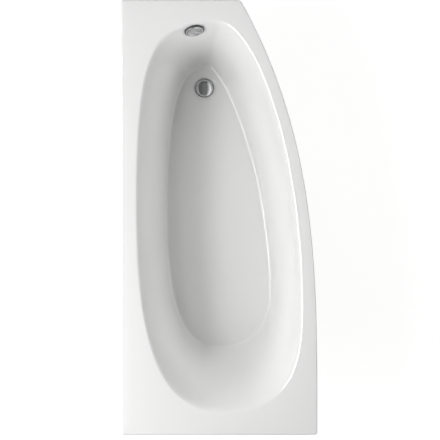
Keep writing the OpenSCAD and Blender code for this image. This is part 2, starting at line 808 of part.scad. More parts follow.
module foot_end_cradle_bar() { cradle_bar(foot_bar_x, foot_front_foot_y, back_foot_y); }
module cradle_screws() {
    color("silver") for (x = [tap_bar_x, foot_bar_x], y = bar_screw_y)
        translate([x, y, bar_top(x) - bar_wall - 0.05]) frame_screw(bar_wall + screw_bite);
}
plate_screw = 34;                    // screw's distance from the plate's middle lines
module at_plate_screws() {
    for (x = [-1, 1], y = [-1, 1]) translate([x * plate_screw, y * plate_screw, 0]) children();
}
module centre_foot_plate() {
    place = foot_places[4];
    color("lightsteelblue") difference() {
        on_floor() translate([place.x - waste_x, place.y, -bar_in - plate_t]) {
            translate([-plate_size / 2, -plate_size / 2, 0]) cube([plate_size, plate_size, plate_t]);
            translate([0, 0, -plate_boss_h]) cylinder(r = plate_boss_r, h = plate_boss_h + 1);
        }
        translate([place.x, place.y, bar_top(place.x) - plate_boss_h - plate_t - 2])
            cylinder(r = stud_r + run_gap, h = plate_boss_h + plate_t + 4);
        translate([place.x, place.y, bar_top(place.x) - plate_t - 2]) at_plate_screws()
            screw_clearance(plate_t + 4);
    }
}
module centre_plate_screws() {
    place = foot_places[4];
    color("silver") translate([place.x, place.y, bar_top(place.x) - plate_t - seat_gap - 0.1])
        at_plate_screws() frame_screw(plate_t + screw_bite);
}
function foot_top(i) =
    i < 4 ? bar_top(foot_places[i].x) + nut_h + stud_spare
    : bar_top(foot_places[i].x) - foot_rise - 4;
module foot_stud(i) {
    color("silver") translate([foot_places[i].x, foot_places[i].y, stud_bottom])
        cylinder(r = stud_r, h = foot_top(i) - stud_bottom);
}
module foot_pad(i) {
    color("dimgray") translate([foot_places[i].x, foot_places[i].y, 0]) difference() {
        rotate_extrude() polygon([
            [0, 0], [pad_r - 1, 0], [pad_r, 1], [pad_r, 4], [stud_r + 6, pad_h - 2],
            [stud_r + 5, pad_h], [0, pad_h]
        ]);
        translate([0, 0, stud_bottom]) cylinder(r = stud_r + 0.02, h = pad_h);
    }
}
module foot_lock_nuts() {
    color("silver") for (i = [0:3]) {
        at = foot_places[i];
        slack = seat_gap + 0.1;
        translate([at.x, at.y, bar_top(at.x) + slack]) hex_nut(nut_r, stud_r + run_gap, nut_h);
        translate([at.x, at.y, bar_top(at.x) - bar_wall - slack - nut_h])
            hex_nut(nut_r, stud_r + run_gap, nut_h);
    }
    color("silver") translate([
        foot_places[4].x, foot_places[4].y,
        bar_top(foot_places[4].x) - plate_t - plate_boss_h - seat_gap - nut_h
    ]) hex_nut(nut_r, stud_r + run_gap, nut_h);
}
module foot_stud_tap_back() { foot_stud(0); }
module foot_stud_tap_front() { foot_stud(1); }
module foot_stud_foot_back() { foot_stud(2); }
module foot_stud_foot_front() { foot_stud(3); }
module foot_stud_centre() { foot_stud(4); }
module foot_pad_tap_back() { foot_pad(0); }
module foot_pad_tap_front() { foot_pad(1); }
module foot_pad_foot_back() { foot_pad(2); }
module foot_pad_foot_front() { foot_pad(3); }
module foot_pad_centre() { foot_pad(4); }

// ---- Wall brackets: an arm under the back batten and an upright flush with the rim's edge ----
bracket_x = half_length - bracket_from_end;
bracket_reach = batten_in + batten_w;
bracket_arm_z = batten_z - bracket_t;
module wall_brackets() {
    color("lightsteelblue") for (side = [-1, 1])
        translate([side * bracket_x - bracket_w / 2, half_width, bracket_arm_z]) difference() {
            union() {
                translate([0, -bracket_reach, 0]) cube([bracket_w, bracket_reach, bracket_t]);
                translate([0, -bracket_t, bracket_t - bracket_h]) cube([bracket_w, bracket_t, bracket_h]);
            }
            for (at = [-1, 1]) translate([bracket_w / 2 + at * slot_spacing / 2, cut, -bracket_h / 2])
                rotate([90, 0, 0]) linear_extrude(bracket_t + 2 * cut) {
                    for (end = [-1, 1]) translate([end * (slot_length - slot_w) / 2, 0])
                        circle(r = slot_w / 2);
                    square([slot_length - slot_w, slot_w], center = true);
                }
            for (at = [-1, 1])
                translate([bracket_w / 2 + at * slot_spacing / 2, -batten_in - batten_w / 2, -cut])
                    screw_clearance(bracket_t + 2 * cut);
        }
}
module at_bracket_screws(z) {
    for (side = [-1, 1], at = [-1, 1]) translate([
        side * bracket_x + at * slot_spacing / 2, half_width - batten_in - batten_w / 2, z
    ]) children();
}
module bracket_screws() {
    color("silver") at_bracket_screws(bracket_arm_z - 0.05) frame_screw(bracket_t + screw_bite);
}

// ---- Waste and plug ----
module at_waste(z) { translate([waste_x, waste_y, z]) children(); }
module waste_flange() {
    bore = neck_r - neck_wall;
    color("gainsboro") at_waste(0) {
        rotate_extrude() polygon([
            [bore, neck_z], [neck_r, neck_z], [neck_r, flange_z], [flange_r - 0.6, flange_z],
            [flange_r, flange_z + 0.6], [flange_r, flange_z + 1.2], [flange_r - 1, flange_z + flange_lip],
            [flange_step_r + 0.6, flange_z + flange_lip], [flange_step_r, flange_z + flange_lip - 0.6],
            [flange_step_r, seat_z], [bore + 1, seat_z], [bore, seat_z - 1]
        ]);
        translate([0, 0, hub_z]) tube(hub_r, stem_r + run_gap, hub_h);
        for (i = [0:2]) rotate(60 + i * 120) translate([hub_r - 1, -1, hub_z])
            cube([bore - hub_r + 1.5, 2, hub_h]);
    }
}
module flange_washer() {
    color("dimgray") at_waste(dish_z) tube(flange_r - 2, waste_hole_r - 1, washer_t);
}
module body_gasket() {
    color("dimgray") at_waste(body_z) tube(dish_r - dish_depth * 2 - 2, waste_hole_r, gasket_t);
}
// Cylinder along the rocker's shaft, between two distances from the waste towards the wall
module rocker_line(from_y, to_y, r) {
    translate([waste_x + rocker_x, waste_y + from_y, rocker_z]) rotate([90, 0, 0])
        cylinder(r = r, h = from_y - to_y);
}
module waste_body() {
    color("whitesmoke") difference() {
        union() {
            at_waste(0) rotate_extrude() polygon([
                [0, tail_z], [tail_r, tail_z], [tail_r, tail_top], [body_r, tail_top + 4],
                [body_r, body_z - body_flange_t], [dish_r - dish_depth * 2, body_z - body_flange_t],
                [dish_r - dish_depth * 2, body_z], [0, body_z]
            ]);
            at_waste(port_z) rotate([0, 90, 0]) cylinder(r = port_r, h = port_end);
            rocker_line(-12, crank_y + crank_t / 2 + 1, rocker_shaft_r + 3);
            // Stop for the cable, on an arm beside the port
            at_waste(cable_z - stop_half) translate([stop_arm_x, cable_y - stop_half, 0])
                cube([ferrule_x - stop_arm_x, 2 * stop_half, 3]);
            at_waste(cable_z - stop_half) translate([cable_stop_x, cable_y - stop_half, 0])
                cube([cable_stop_t, 2 * stop_half, 2 * stop_half]);
            at_waste(port_z) translate([stop_arm_x, cable_y + stop_half - 3, 0])
                cube([3, 3 - cable_y - stop_half, cable_z - stop_half + 3 - port_z]);
        }
        at_waste(0) rotate_extrude() polygon([
            [0, tail_z - cut], [tail_bore_r, tail_z - cut], [tail_bore_r, tail_top],
            [chamber_r, chamber_z], [chamber_r, chamber_top], [neck_r + seat_gap, chamber_top],
            [neck_r + seat_gap, body_z + cut], [0, body_z + cut]
        ]);
        at_waste(port_z) rotate([0, 90, 0]) cylinder(r = port_bore_r, h = port_end + cut);
        rocker_line(0, crank_y - 2, rocker_shaft_r + run_gap);
        at_waste(cable_z) translate([cable_stop_x - cut, cable_y, 0]) rotate([0, 90, 0])
            cylinder(r = wire_r + 0.5, h = cable_stop_t + 2 * cut);
    }
}
module pop_up_plug() {
    color("gainsboro") at_waste(0) rotate_extrude() polygon(concat(
        [[0, cap_web_z], [cap_r - 1.5, cap_web_z], [cap_r - 1.5, cap_z], [cap_r, cap_z],
            [cap_r, cap_z + cap_edge]],
        [for (a = [11.25:11.25:90]) [cap_r * cos(a), cap_z + cap_edge + cap_dome * sin(a)]]
    ));
}
module plug_seal() {
    color("dimgray") at_waste(seat_z + 0.15) tube(neck_r + 4, neck_r - 0.5, cap_web_z - seat_z - 0.15);
}
module plug_stem() {
    color("silver") at_waste(0) rotate_extrude() polygon([
        [0, stem_z], [0.6, stem_z], [stem_r, stem_z + stem_tip], [stem_r, cap_web_z], [0, cap_web_z]
    ]);
}
// At rest the arm dips below level by the rocker's turn, with its top face through the shaft's axis
module lift_rocker() {
    color("khaki") {
        rocker_line(arm_w / 2 + 1, crank_y, rocker_shaft_r);
        translate([waste_x + rocker_x, waste_y, rocker_z]) rotate([0, -rocker_turn, 0]) {
            translate([-arm_reach, -arm_w / 2, -arm_t]) cube([arm_reach, arm_w, arm_t]);
            translate([0, crank_y + crank_t / 2, 0]) rotate([90, 0, 0]) {
                cylinder(r = rocker_shaft_r + 2, h = crank_t);
                translate([0, crank_r, 0]) cylinder(r = crank_pin_r + 1.5, h = crank_t);
                translate([-2, 0, 0]) cube([4, crank_r, crank_t]);
                translate([0, crank_r, crank_t - 1]) cylinder(r = crank_pin_r, h = 5);
            }
        }
    }
}
crank_rest_x = rocker_x - crank_r * sin(rocker_turn);
module cable_wire() {
    eye_t = 2;
    color("silver") at_waste(cable_z) translate([0, cable_y, 0]) {
        translate([crank_rest_x, eye_t / 2, 0]) rotate([90, 0, 0])
            tube(eye_r, crank_pin_r + eye_gap, eye_t);
        translate([crank_rest_x + eye_r - 0.5, 0, 0]) rotate([0, 90, 0])
            cylinder(r = wire_r, h = ferrule_x + wire_tail - crank_rest_x - eye_r);
    }
}

// ---- Cable, its end ferrule and ties ----
module cable_ferrule() {
    color("silver") at_waste(cable_z) translate([ferrule_x, cable_y, 0]) rotate([0, 90, 0])
        difference() {
            cylinder(r = ferrule_r, h = ferrule_l);
            translate([0, 0, -cut]) cylinder(r = ferrule_bore_r, h = ferrule_l - 4 + cut);
        }
}
cable_start = [waste_x + ferrule_x + ferrule_l, waste_y + cable_y, cable_z];
cable_end = [gland_pos.x, gland_pos.y, gland_z];
cable_bend_end = [cable_end.x, cable_end.y, bend_end_z];
cable_points = concat(
    [cable_start, cable_start + [cable_lead / 2, 0, 0]],
    bend_route(cable_start + [cable_lead, 0, 0], cable_bend_end, cable_bend_spans),
    rise_route(cable_bend_end, cable_end - [0, 0, cable_lead], cable_rise_spans),
    [cable_end - [0, 0, cable_lead / 2], cable_end]
);
module control_cable() {
    color("dimgray") swept_rings(
        [for (i = [0:0.5:len(cable_points) - 1])
            path_ring([for (k = [-0.1, 0, 0.1])
                smooth_point(cable_points, min(max(i + k, 0), len(cable_points) - 1))],
                1, cable_r, cable_sides)],
        false
    );
}

// ---- Overflow ----
module overflow_rosette() {
    color("gainsboro") at_overflow() difference() {
        union() {
            rotate_extrude() polygon([
                [rosette_r - rosette_skirt, rosette_back], [rosette_r, rosette_back],
                [rosette_r, rosette_h - 3], [rosette_r - 0.9, rosette_h - 0.9],
                [rosette_r - 3, rosette_h], [knob_r + 1.5, rosette_h + 0.6],
                [knob_r + 0.6, rosette_h], [knob_r + 0.6, knob_back - 0.8],
                [knob_r + 2.2, knob_back - 0.8], [knob_r + 2.2, rosette_h - 1.6],
                [rosette_r - rosette_skirt, rosette_h - 2.2]
            ]);
            for (i = [0:2]) rotate(i * 120) translate([0, -spoke_w / 2, rosette_back])
                cube([knob_r + 2, spoke_w, spoke_t]);
            translate([0, 0, gasket_back]) cylinder(r = bearing_r, h = rosette_back + spoke_t - gasket_back);
        }
        translate([0, 0, gasket_back - cut])
            cylinder(r = spindle_r + run_gap, h = rosette_back + spoke_t - gasket_back + 2 * cut);
        // Inlets in the lower part of the skirt
        for (i = [-1:1]) rotate(180 + i * 24) translate([rosette_r - 5, -5, rosette_back - cut])
            cube([8, 10, cut + 2.4]);
    }
}
module control_knob() {
    color("gainsboro") at_overflow() {
        translate([0, 0, knob_back]) rotate_extrude() polygon([
            [0, 0], [knob_r - 1, 0], [knob_r, 1], [knob_r, knob_t - 1], [knob_r - 1, knob_t], [0, knob_t]
        ]);
        // Shut and open, the grip leans as far to either side
        rotate(knob_turn / 2) translate([0, 0, knob_back + knob_t - 0.5]) intersection() {
            cylinder(r = knob_r - 1.5, h = knob_grip_h + 0.5);
            translate([-knob_r, -knob_grip_w / 2, 0]) cube([2 * knob_r, knob_grip_w, knob_grip_h + 0.5]);
        }
    }
}
module knob_spindle() {
    color("silver") at_overflow() translate([0, 0, knob_back - spindle_l]) {
        cylinder(r = spindle_r, h = spindle_l);
        // Drum that winds the cable's wire inside the cup
        translate([0, 0, -8]) cylinder(r = 8, h = 8);
    }
}
module overflow_gasket() {
    color("dimgray") at_overflow() translate([0, 0, gasket_back])
        tube(rosette_r - 2, overflow_hole_r + 1, gasket_front - gasket_back);
}
module overflow_body() {
    color("whitesmoke") difference() {
        union() {
            at_overflow() {
                translate([0, 0, gasket_back - 3]) cylinder(r = rosette_r - 2, h = 3);
                translate([0, 0, cup_back]) cylinder(r = cup_r, h = gasket_back - cup_back);
            }
            translate([spigot_pos.x, spigot_pos.y, spigot_z]) cylinder(r = port_r, h = spigot_l);
            translate([gland_pos.x, gland_pos.y, gland_z]) cylinder(r = gland_r, h = gland_l);
        }
        at_overflow() translate([0, 0, cup_back + cup_wall])
            cylinder(r = cup_r - cup_wall, h = gasket_back - cup_back);
        translate([spigot_pos.x, spigot_pos.y, spigot_z - cut]) cylinder(r = port_bore_r, h = spigot_l);
        translate([gland_pos.x, gland_pos.y, gland_z + 10]) cylinder(r = wire_r + 0.5, h = gland_l - 10);
    }
}

// ---- Overflow hose and its nuts ----
hose_start = [waste_x + port_end - hose_plug_in, waste_y, port_z];
hose_end = [spigot_pos.x, spigot_pos.y, spigot_z + hose_plug_in];
hose_bend_end = [hose_end.x, hose_end.y, bend_end_z];
hose_points = concat(
    [hose_start, hose_start + [hose_cuff / 2, 0, 0]],
    bend_route(hose_start + [hose_cuff, 0, 0], hose_bend_end, hose_bend_spans),
    rise_route(hose_bend_end, hose_end - [0, 0, hose_cuff], hose_rise_spans),
    [hose_end - [0, 0, hose_cuff / 2], hose_end]
);
hose_spans = len(hose_points) - 1;
rib_spans = hose_spans - 4;           // the cuffs have no ribs
function path_length(path, from, to) = from == to ? 0 : norm(path[from + 1] - path[from])
    + path_length(path, from + 1, to);
rib_count = round(path_length(hose_points, 2, hose_spans - 2) / rib_pitch);
rib_depth = 1.8;
function hose_ring(place, r) =
    let (e = 0.05)
    path_ring([for (k = [-e, 0, e])
        smooth_point(hose_points, min(max(place + k, 0), hose_spans))], 1, r, hose_sides);
module overflow_hose() {
    outer = concat(
        [hose_ring(0, hose_r), hose_ring(2, hose_r)],
        [for (i = [0:rib_count - 1]) each [
            hose_ring(2 + (i + 0.25) * rib_spans / rib_count, hose_r - rib_depth),
            hose_ring(2 + (i + 0.75) * rib_spans / rib_count, hose_r)
        ]],
        [hose_ring(hose_spans - 2, hose_r), hose_ring(hose_spans, hose_r)]
    );
    // The bore's flats, not its corners, clear the spigots
    bore = [for (place = [hose_spans:-0.5:0]) hose_ring(place, hose_bore_r / cos(180 / hose_sides))];
    color("gray") swept_rings(concat(outer, bore), true);
}
module hose_nut() { fluted_ring(hose_nut_r, hose_r + seat_gap, hose_nut_l, 12); }
module hose_nut_lower() {
    color("whitesmoke") translate([waste_x + hose_start_x, waste_y, port_z]) rotate([0, 90, 0]) hose_nut();
}
module hose_nut_upper() {
    color("whitesmoke") translate([spigot_pos.x, spigot_pos.y, spigot_z - 2]) hose_nut();
}
tie_h = 4;
tie_t = 1.4;
tie_slack = 0.3;
module tie_outline(grow) {
    hull() {
        circle(r = hose_r + grow, $fn = 32);
        translate(cable_by_hose) circle(r = cable_r + grow, $fn = 32);
    }
}
module cable_ties() {
    color("black") for (share = tie_shares)
        translate(mix(hose_bend_end, hose_end, share)) linear_extrude(tie_h) difference() {
            tie_outline(tie_slack + tie_t);
            tie_outline(tie_slack);
        }
}

// ---- Trap ----
module trap_washer() {
    color("dimgray") at_waste(trap_top) tube(trap_flange_r, tail_bore_r, trap_washer_t);
}
module trap_inlet_nut() {
    z = trap_top - trap_flange_t - seat_gap - inlet_nut_lip;
    color("whitesmoke") at_waste(z) difference() {
        fluted_ring(inlet_nut_r, trap_r + seat_gap, inlet_nut_top - z, 16);
        translate([0, 0, inlet_nut_lip]) cylinder(r = trap_flange_r + seat_gap, h = inlet_nut_top - z);
    }
}
// Pipe bent in the plane across the bath, from one angle over a sweep, about the origin
module pipe_bend(r, bend_r, from, sweep) {
    rotate([90, 0, 90]) rotate(from) rotate_extrude(angle = sweep) translate([bend_r, 0]) circle(r = r);
}
module trap_pipes(r) {
    at_waste(trap_bend_z) {
        cylinder(r = r, h = trap_top - trap_bend_z);
        translate([0, trap_bend_r, 0]) pipe_bend(r, trap_bend_r, 180, 180);
        translate([0, riser_y, 0]) cylinder(r = r, h = elbow_z - trap_bend_z);
    }
    at_waste(elbow_z) translate([0, riser_y + elbow_r, 0]) pipe_bend(r, elbow_r, 90, 90);
    translate([waste_x, outlet_y, outlet_z]) rotate([-90, 0, 0])
        cylinder(r = r, h = socket_l - outlet_depth + 0.5);
}
module trap_body() {
    color("whitesmoke") difference() {
        union() {
            trap_pipes(trap_r);
            at_waste(trap_top - trap_flange_t) cylinder(r = trap_flange_r, h = trap_flange_t);
            translate([waste_x, outlet_y, outlet_z]) rotate([-90, 0, 0])
                cylinder(r = socket_r, h = socket_l);
            at_waste(access_z) rotate([90, 0, 0]) cylinder(r = access_r, h = trap_r + access_l);
        }
        trap_pipes(trap_bore_r);
        at_waste(trap_top - cut) cylinder(r = trap_bore_r, h = 2 * cut);
        translate([waste_x, outlet_y + socket_l - outlet_depth, outlet_z]) rotate([-90, 0, 0])
            cylinder(r = outlet_bore_r, h = outlet_depth + cut);
        at_waste(access_z) rotate([90, 0, 0])
            cylinder(r = access_r - trap_wall, h = trap_r + access_l + cut);
    }
}
module trap_access_plug() {
    color("whitesmoke") at_waste(access_z) translate([0, -trap_r - access_l - seat_gap, 0])
        rotate([90, 0, 0]) {
            fluted_ring(access_cap_r, 0, access_cap_t, 10);
            translate([0, 0, -8]) cylinder(r = access_r - trap_wall - 0.1, h = 9);
        }
}
module trap_outlet_seal() {
    color("dimgray") translate([waste_x, outlet_y + socket_l + seat_gap, outlet_z]) rotate([-90, 0, 0])
        tube(socket_r - 0.5, outlet_bore_r, outlet_seal_t);
}
module trap_outlet_nut() {
    back = 12;                        // by which the nut reaches back over the socket
    lip = 4;
    y = outlet_y + socket_l + outlet_seal_t + 2 * seat_gap;
    color("whitesmoke") translate([waste_x, y, outlet_z]) rotate([-90, 0, 0]) difference() {
        translate([0, 0, -back - outlet_seal_t]) fluted_ring(outlet_nut_r, 0, back + outlet_seal_t + lip, 16);
        translate([0, 0, -back - outlet_seal_t - cut])
            cylinder(r = socket_r + seat_gap, h = back + outlet_seal_t + cut);
        translate([0, 0, -cut]) cylinder(r = outlet_bore_r + 0.3, h = lip + 2 * cut);
    }
}

bath_shell();
fibreglass_backing();
base_board();
back_batten();
tap_end_batten();
foot_end_batten();
front_batten();
tap_end_cradle_bar();
foot_end_cradle_bar();
cradle_screws();
centre_foot_plate();
centre_plate_screws();
foot_lock_nuts();
foot_stud_tap_back();
foot_stud_tap_front();
foot_stud_foot_back();
foot_stud_foot_front();
foot_stud_centre();
foot_pad_tap_back();
foot_pad_tap_front();
foot_pad_foot_back();
foot_pad_foot_front();
foot_pad_centre();
wall_brackets();
bracket_screws();
waste_flange();
flange_washer();
waste_body();
body_gasket();
pop_up_plug();
plug_stem();
plug_seal();
lift_rocker();
cable_wire();
cable_ferrule();
control_cable();
cable_ties();
overflow_rosette();
control_knob();
knob_spindle();
overflow_gasket();
overflow_body();
overflow_hose();
hose_nut_upper();
hose_nut_lower();
trap_inlet_nut();
trap_washer();
trap_body();
trap_access_plug();
trap_outlet_nut();
trap_outlet_seal();
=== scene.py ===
# %% [markdown]
# # An offset bath, seen from straight above
#
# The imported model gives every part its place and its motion. This script keeps that frame and dresses
# it: smooth skins for the acrylic and the glass fibre, polished fittings, a ribbed hose, threaded feet,
# and a material for each finish. Lengths are in metres, +X points to the tap end, +Y to the wall.

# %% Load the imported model
import json
import math

import bmesh
import bpy
from mathutils import Matrix, Vector


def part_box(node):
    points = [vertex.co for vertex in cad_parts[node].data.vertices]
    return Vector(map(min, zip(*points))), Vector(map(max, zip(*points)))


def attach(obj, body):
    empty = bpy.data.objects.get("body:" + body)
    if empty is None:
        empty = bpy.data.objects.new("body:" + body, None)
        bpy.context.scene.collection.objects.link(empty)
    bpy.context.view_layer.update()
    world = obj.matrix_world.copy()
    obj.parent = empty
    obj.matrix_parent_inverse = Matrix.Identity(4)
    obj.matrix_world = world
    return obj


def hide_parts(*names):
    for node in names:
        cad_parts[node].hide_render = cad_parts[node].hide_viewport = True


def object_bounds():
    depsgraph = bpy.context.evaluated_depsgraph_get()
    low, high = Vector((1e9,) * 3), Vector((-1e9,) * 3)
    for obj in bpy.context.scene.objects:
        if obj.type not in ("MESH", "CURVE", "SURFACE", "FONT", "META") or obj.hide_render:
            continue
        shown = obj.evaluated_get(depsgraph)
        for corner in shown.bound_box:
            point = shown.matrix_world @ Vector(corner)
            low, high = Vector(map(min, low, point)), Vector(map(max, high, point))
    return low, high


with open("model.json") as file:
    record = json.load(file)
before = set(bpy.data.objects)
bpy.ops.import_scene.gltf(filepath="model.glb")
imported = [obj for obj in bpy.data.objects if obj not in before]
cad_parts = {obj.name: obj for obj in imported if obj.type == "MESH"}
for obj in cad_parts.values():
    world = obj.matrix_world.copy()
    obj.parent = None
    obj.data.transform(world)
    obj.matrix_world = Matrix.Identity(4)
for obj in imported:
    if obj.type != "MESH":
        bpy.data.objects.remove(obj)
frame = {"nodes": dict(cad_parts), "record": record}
cad_low, cad_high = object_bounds()
MM = 0.001
WELD = 1e-6  # how far apart two points may be that are made one
print("box in mm:", [round(x / MM, 1) for x in cad_high - cad_low])

# %% [markdown]
# ## The camera
#
# The picture is a plan view with no perspective to see. A very long lens from far above does that, and
# unlike an orthographic camera it can still be moved round the object by the other views.

# %% Camera
RIM_TOP = cad_high.z
CAMERA_HEIGHT = 50.0  # over the rim
PICTURE_WIDTH = 1.5686  # of the plane of the rim, across the picture
PICTURE_MIDDLE = (-0.0093, -0.0029)
SENSOR = 36.0
camera_data = bpy.data.cameras.new("plan_camera")
camera_data.sensor_width = SENSOR
camera_data.lens = SENSOR * CAMERA_HEIGHT / PICTURE_WIDTH
camera_data.clip_end = 4 * CAMERA_HEIGHT
camera = bpy.data.objects.new("plan_camera", camera_data)
bpy.context.scene.collection.objects.link(camera)
camera.location = (*PICTURE_MIDDLE, RIM_TOP + CAMERA_HEIGHT)
camera.rotation_euler = (0.0, 0.0, -math.pi / 2)
bpy.context.scene.camera = camera

# %% [markdown]
# ## Light, backdrop and floor
#
# The shading in the picture comes from broad soft light beside the wall, from steep to low, a weaker one
# across from it and one over the tap end. One more lamp shines on the acrylic alone, and only as gloss: it
# draws the bright lines along the edges of the floor and of the well. Chrome shows a dim ceiling, white
# sides and a dark tap end, so the world gives it those. The camera always sees white behind the bath.

# %% Lights
def soft_light(name, place, aim, size, power):
    """A rectangular lamp at a place, turned towards the point it lights."""
    data = bpy.data.lights.new(name, "AREA")
    data.shape = "RECTANGLE"
    data.size, data.size_y = size
    data.energy = power
    lamp = bpy.data.objects.new(name, data)
    bpy.context.scene.collection.objects.link(lamp)
    lamp.location = place
    lamp.rotation_euler = (Vector(aim) - Vector(place)).to_track_quat("-Z", "Y").to_euler()
    return lamp


LAMPS = [  # place, aim, size, watts
    ("wall_side_light", (-0.1, 2.0, 3.2), (0.0, 0.0, 0.2), (2.2, 0.6), 42.0),
    ("wall_foot_light", (-1.2, 2.0, 2.0), (0.0, -0.1, 0.3), (1.4, 1.2), 37.0),
    ("low_wall_light", (0.0, 2.5, 1.4), (0.0, 0.0, 0.3), (2.4, 0.6), 10.0),
    ("steep_light", (-0.1, 1.4, 3.4), (0.0, 0.1, 0.2), (2.4, 0.35), 13.5),
    ("front_light", (0.0, -2.3, 1.9), (0.0, 0.0, 0.4), (2.4, 1.2), 26.0),
    ("tap_end_light", (2.4, 0.0, 2.4), (0.0, 0.0, 0.4), (1.6, 1.4), 17.0),
]
for row in LAMPS:
    soft_light(*row).visible_glossy = False  # the glint light and the sky give the gloss
glint = soft_light("glint_light", (-0.3, 1.5, 3.1), (0.0, -0.1, 0.2), (2.0, 0.75), 185.0)
glint.visible_diffuse = False
glint.data.cycles.max_bounces = 0  # this and the next line keep it from a second glint, off the floor
glint.data.cycles.use_multiple_importance_sampling = False
lit_by_glint = bpy.data.collections.new("lit_by_glint")
glint.light_linking.receiver_collection = lit_by_glint

# %% Node helpers
def feed(tree, socket, value):
    """Links the input to a socket, or sets it to a plain value."""
    if isinstance(value, bpy.types.NodeSocket):
        tree.links.new(value, socket)
    else:
        socket.default_value = value


def linked(tree, kind, **inputs):
    """A node of the kind named, with its inputs fed by name."""
    node = tree.nodes.new(kind)
    for key, value in inputs.items():
        feed(tree, node.inputs[key.replace("_", " ")], value)
    return node


def maths(tree, operation, *values):
    """The result of a Math node for values or sockets."""
    node = tree.nodes.new("ShaderNodeMath")
    node.operation = operation
    for socket, value in zip(node.inputs, values):
        feed(tree, socket, value)
    return node.outputs[0]


def highest(tree, *values):
    """The largest of the values, a value being a number or a socket."""
    result = values[0]
    for value in values[1:]:
        result = maths(tree, "MAXIMUM", result, value)
    return result


def rising(tree, value, start, end, low=0.0, high=1.0):
    """A smooth step of the value from low, at start, to high, at end."""
    node = linked(tree, "ShaderNodeMapRange", Value=value, From_Min=start, From_Max=end,
                  To_Min=low, To_Max=high)
    node.interpolation_type = "SMOOTHSTEP"
    return node.outputs[0]


# %% World
AMBIENT = 0.04  # what the sky adds to plain, unmirrored light
DARK_END = 0.95  # how much darker the mirrored sky is towards the tap end
world = bpy.data.worlds.new("studio")
bpy.context.scene.world = world
world.use_nodes = True
tree = world.node_tree
tree.nodes.clear()
way = tree.nodes.new("ShaderNodeTexCoord").outputs["Generated"]
east, north, up = linked(tree, "ShaderNodeSeparateXYZ", Vector=way).outputs
# Each part of the sky changes between two directions, from one brightness to another
ceiling = rising(tree, north, 0.16, 0.0, 0.20, 0.31)
front_side = rising(tree, north, -0.02, -0.38, 0.0, 1.7)
wall_side = rising(tree, north, 0.30, 0.48, 0.0, 1.6)
foot_side = rising(tree, east, -0.25, -0.6, 0.0, 0.6)
sky = highest(tree, ceiling, front_side, wall_side, foot_side)
above = rising(tree, up, 0.05, 0.2, 0.0, DARK_END)
dark = maths(tree, "MULTIPLY", rising(tree, east, 0.2, 0.5), above)
low_sky = rising(tree, up, 0.2, 0.05)
mirror_sky = highest(tree, maths(tree, "MULTIPLY", sky, maths(tree, "SUBTRACT", 1.0, dark)), low_sky)
rays = tree.nodes.new("ShaderNodeLightPath").outputs
mirrored = highest(tree, rays["Is Glossy Ray"], rays["Is Transmission Ray"])
plain = highest(tree, rays["Is Camera Ray"], AMBIENT)
strength = maths(tree, "ADD", maths(tree, "MULTIPLY", mirrored, mirror_sky),
                 maths(tree, "MULTIPLY", maths(tree, "SUBTRACT", 1.0, mirrored), plain))
background = linked(tree, "ShaderNodeBackground", Strength=strength)
linked(tree, "ShaderNodeOutputWorld", Surface=background.outputs[0])

# %% Floor
FLOOR_HALF = 30.0
FLOOR_GLOW = 0.86  # so that a lit floor is white to the camera, and still shows a faint shadow
floor_mesh = bpy.data.meshes.new("studio_floor")
bm = bmesh.new()
bmesh.ops.create_grid(bm, x_segments=1, y_segments=1, size=FLOOR_HALF)
bm.to_mesh(floor_mesh)
bm.free()
floor = bpy.data.objects.new("studio_floor", floor_mesh)
bpy.context.scene.collection.objects.link(floor)
floor_paper = bpy.data.materials.new("floor_paper")
floor_paper.use_nodes = True
tree = floor_paper.node_tree
tree.nodes.clear()
rays = tree.nodes.new("ShaderNodeLightPath").outputs
seen = highest(tree, rays["Is Camera Ray"], rays["Is Glossy Ray"], rays["Is Transmission Ray"])
glow = linked(tree, "ShaderNodeEmission", Color=(1, 1, 1, 1), Strength=FLOOR_GLOW)
shadowed = linked(tree, "ShaderNodeBsdfDiffuse", Color=(0.3, 0.3, 0.3, 1))
lit = tree.nodes.new("ShaderNodeAddShader")
tree.links.new(glow.outputs[0], lit.inputs[0])
tree.links.new(shadowed.outputs[0], lit.inputs[1])
plain = linked(tree, "ShaderNodeBsdfDiffuse", Color=(0.7, 0.7, 0.7, 1))
mixed = linked(tree, "ShaderNodeMixShader", Fac=seen)
tree.links.new(plain.outputs[0], mixed.inputs[1])
tree.links.new(lit.outputs[0], mixed.inputs[2])
linked(tree, "ShaderNodeOutputMaterial", Surface=mixed.outputs[0])
floor_mesh.materials.append(floor_paper)

bpy.context.scene.view_settings.view_transform = "Standard"

# %% [markdown]
# ## Shared effects for the materials
#
# Nearly every surface varies a little in colour and gloss, and has some fine relief. One node group
# gives all three from two noises, so each material only sets its own scale and strength.

# %% Node group: unevenness
def group_with(name, inputs, outputs):
    """An empty shader node group, the sockets that bring its inputs and those that take its outputs."""
    tree = bpy.data.node_groups.new(name, "ShaderNodeTree")
    for label, kind, value in inputs:
        socket = tree.interface.new_socket(label, in_out="INPUT", socket_type="NodeSocket" + kind)
        socket.default_value = value
    for label, kind in outputs:
        tree.interface.new_socket(label, in_out="OUTPUT", socket_type="NodeSocket" + kind)
    return tree, tree.nodes.new("NodeGroupInput").outputs, tree.nodes.new("NodeGroupOutput").inputs


def stretched_coords(tree, stretch):
    """Object coordinates, times the factor given along each axis."""
    node = tree.nodes.new("ShaderNodeVectorMath")
    node.operation = "MULTIPLY"
    tree.links.new(tree.nodes.new("ShaderNodeTexCoord").outputs["Object"], node.inputs[0])
    tree.links.new(stretch, node.inputs[1])
    return node.outputs[0]


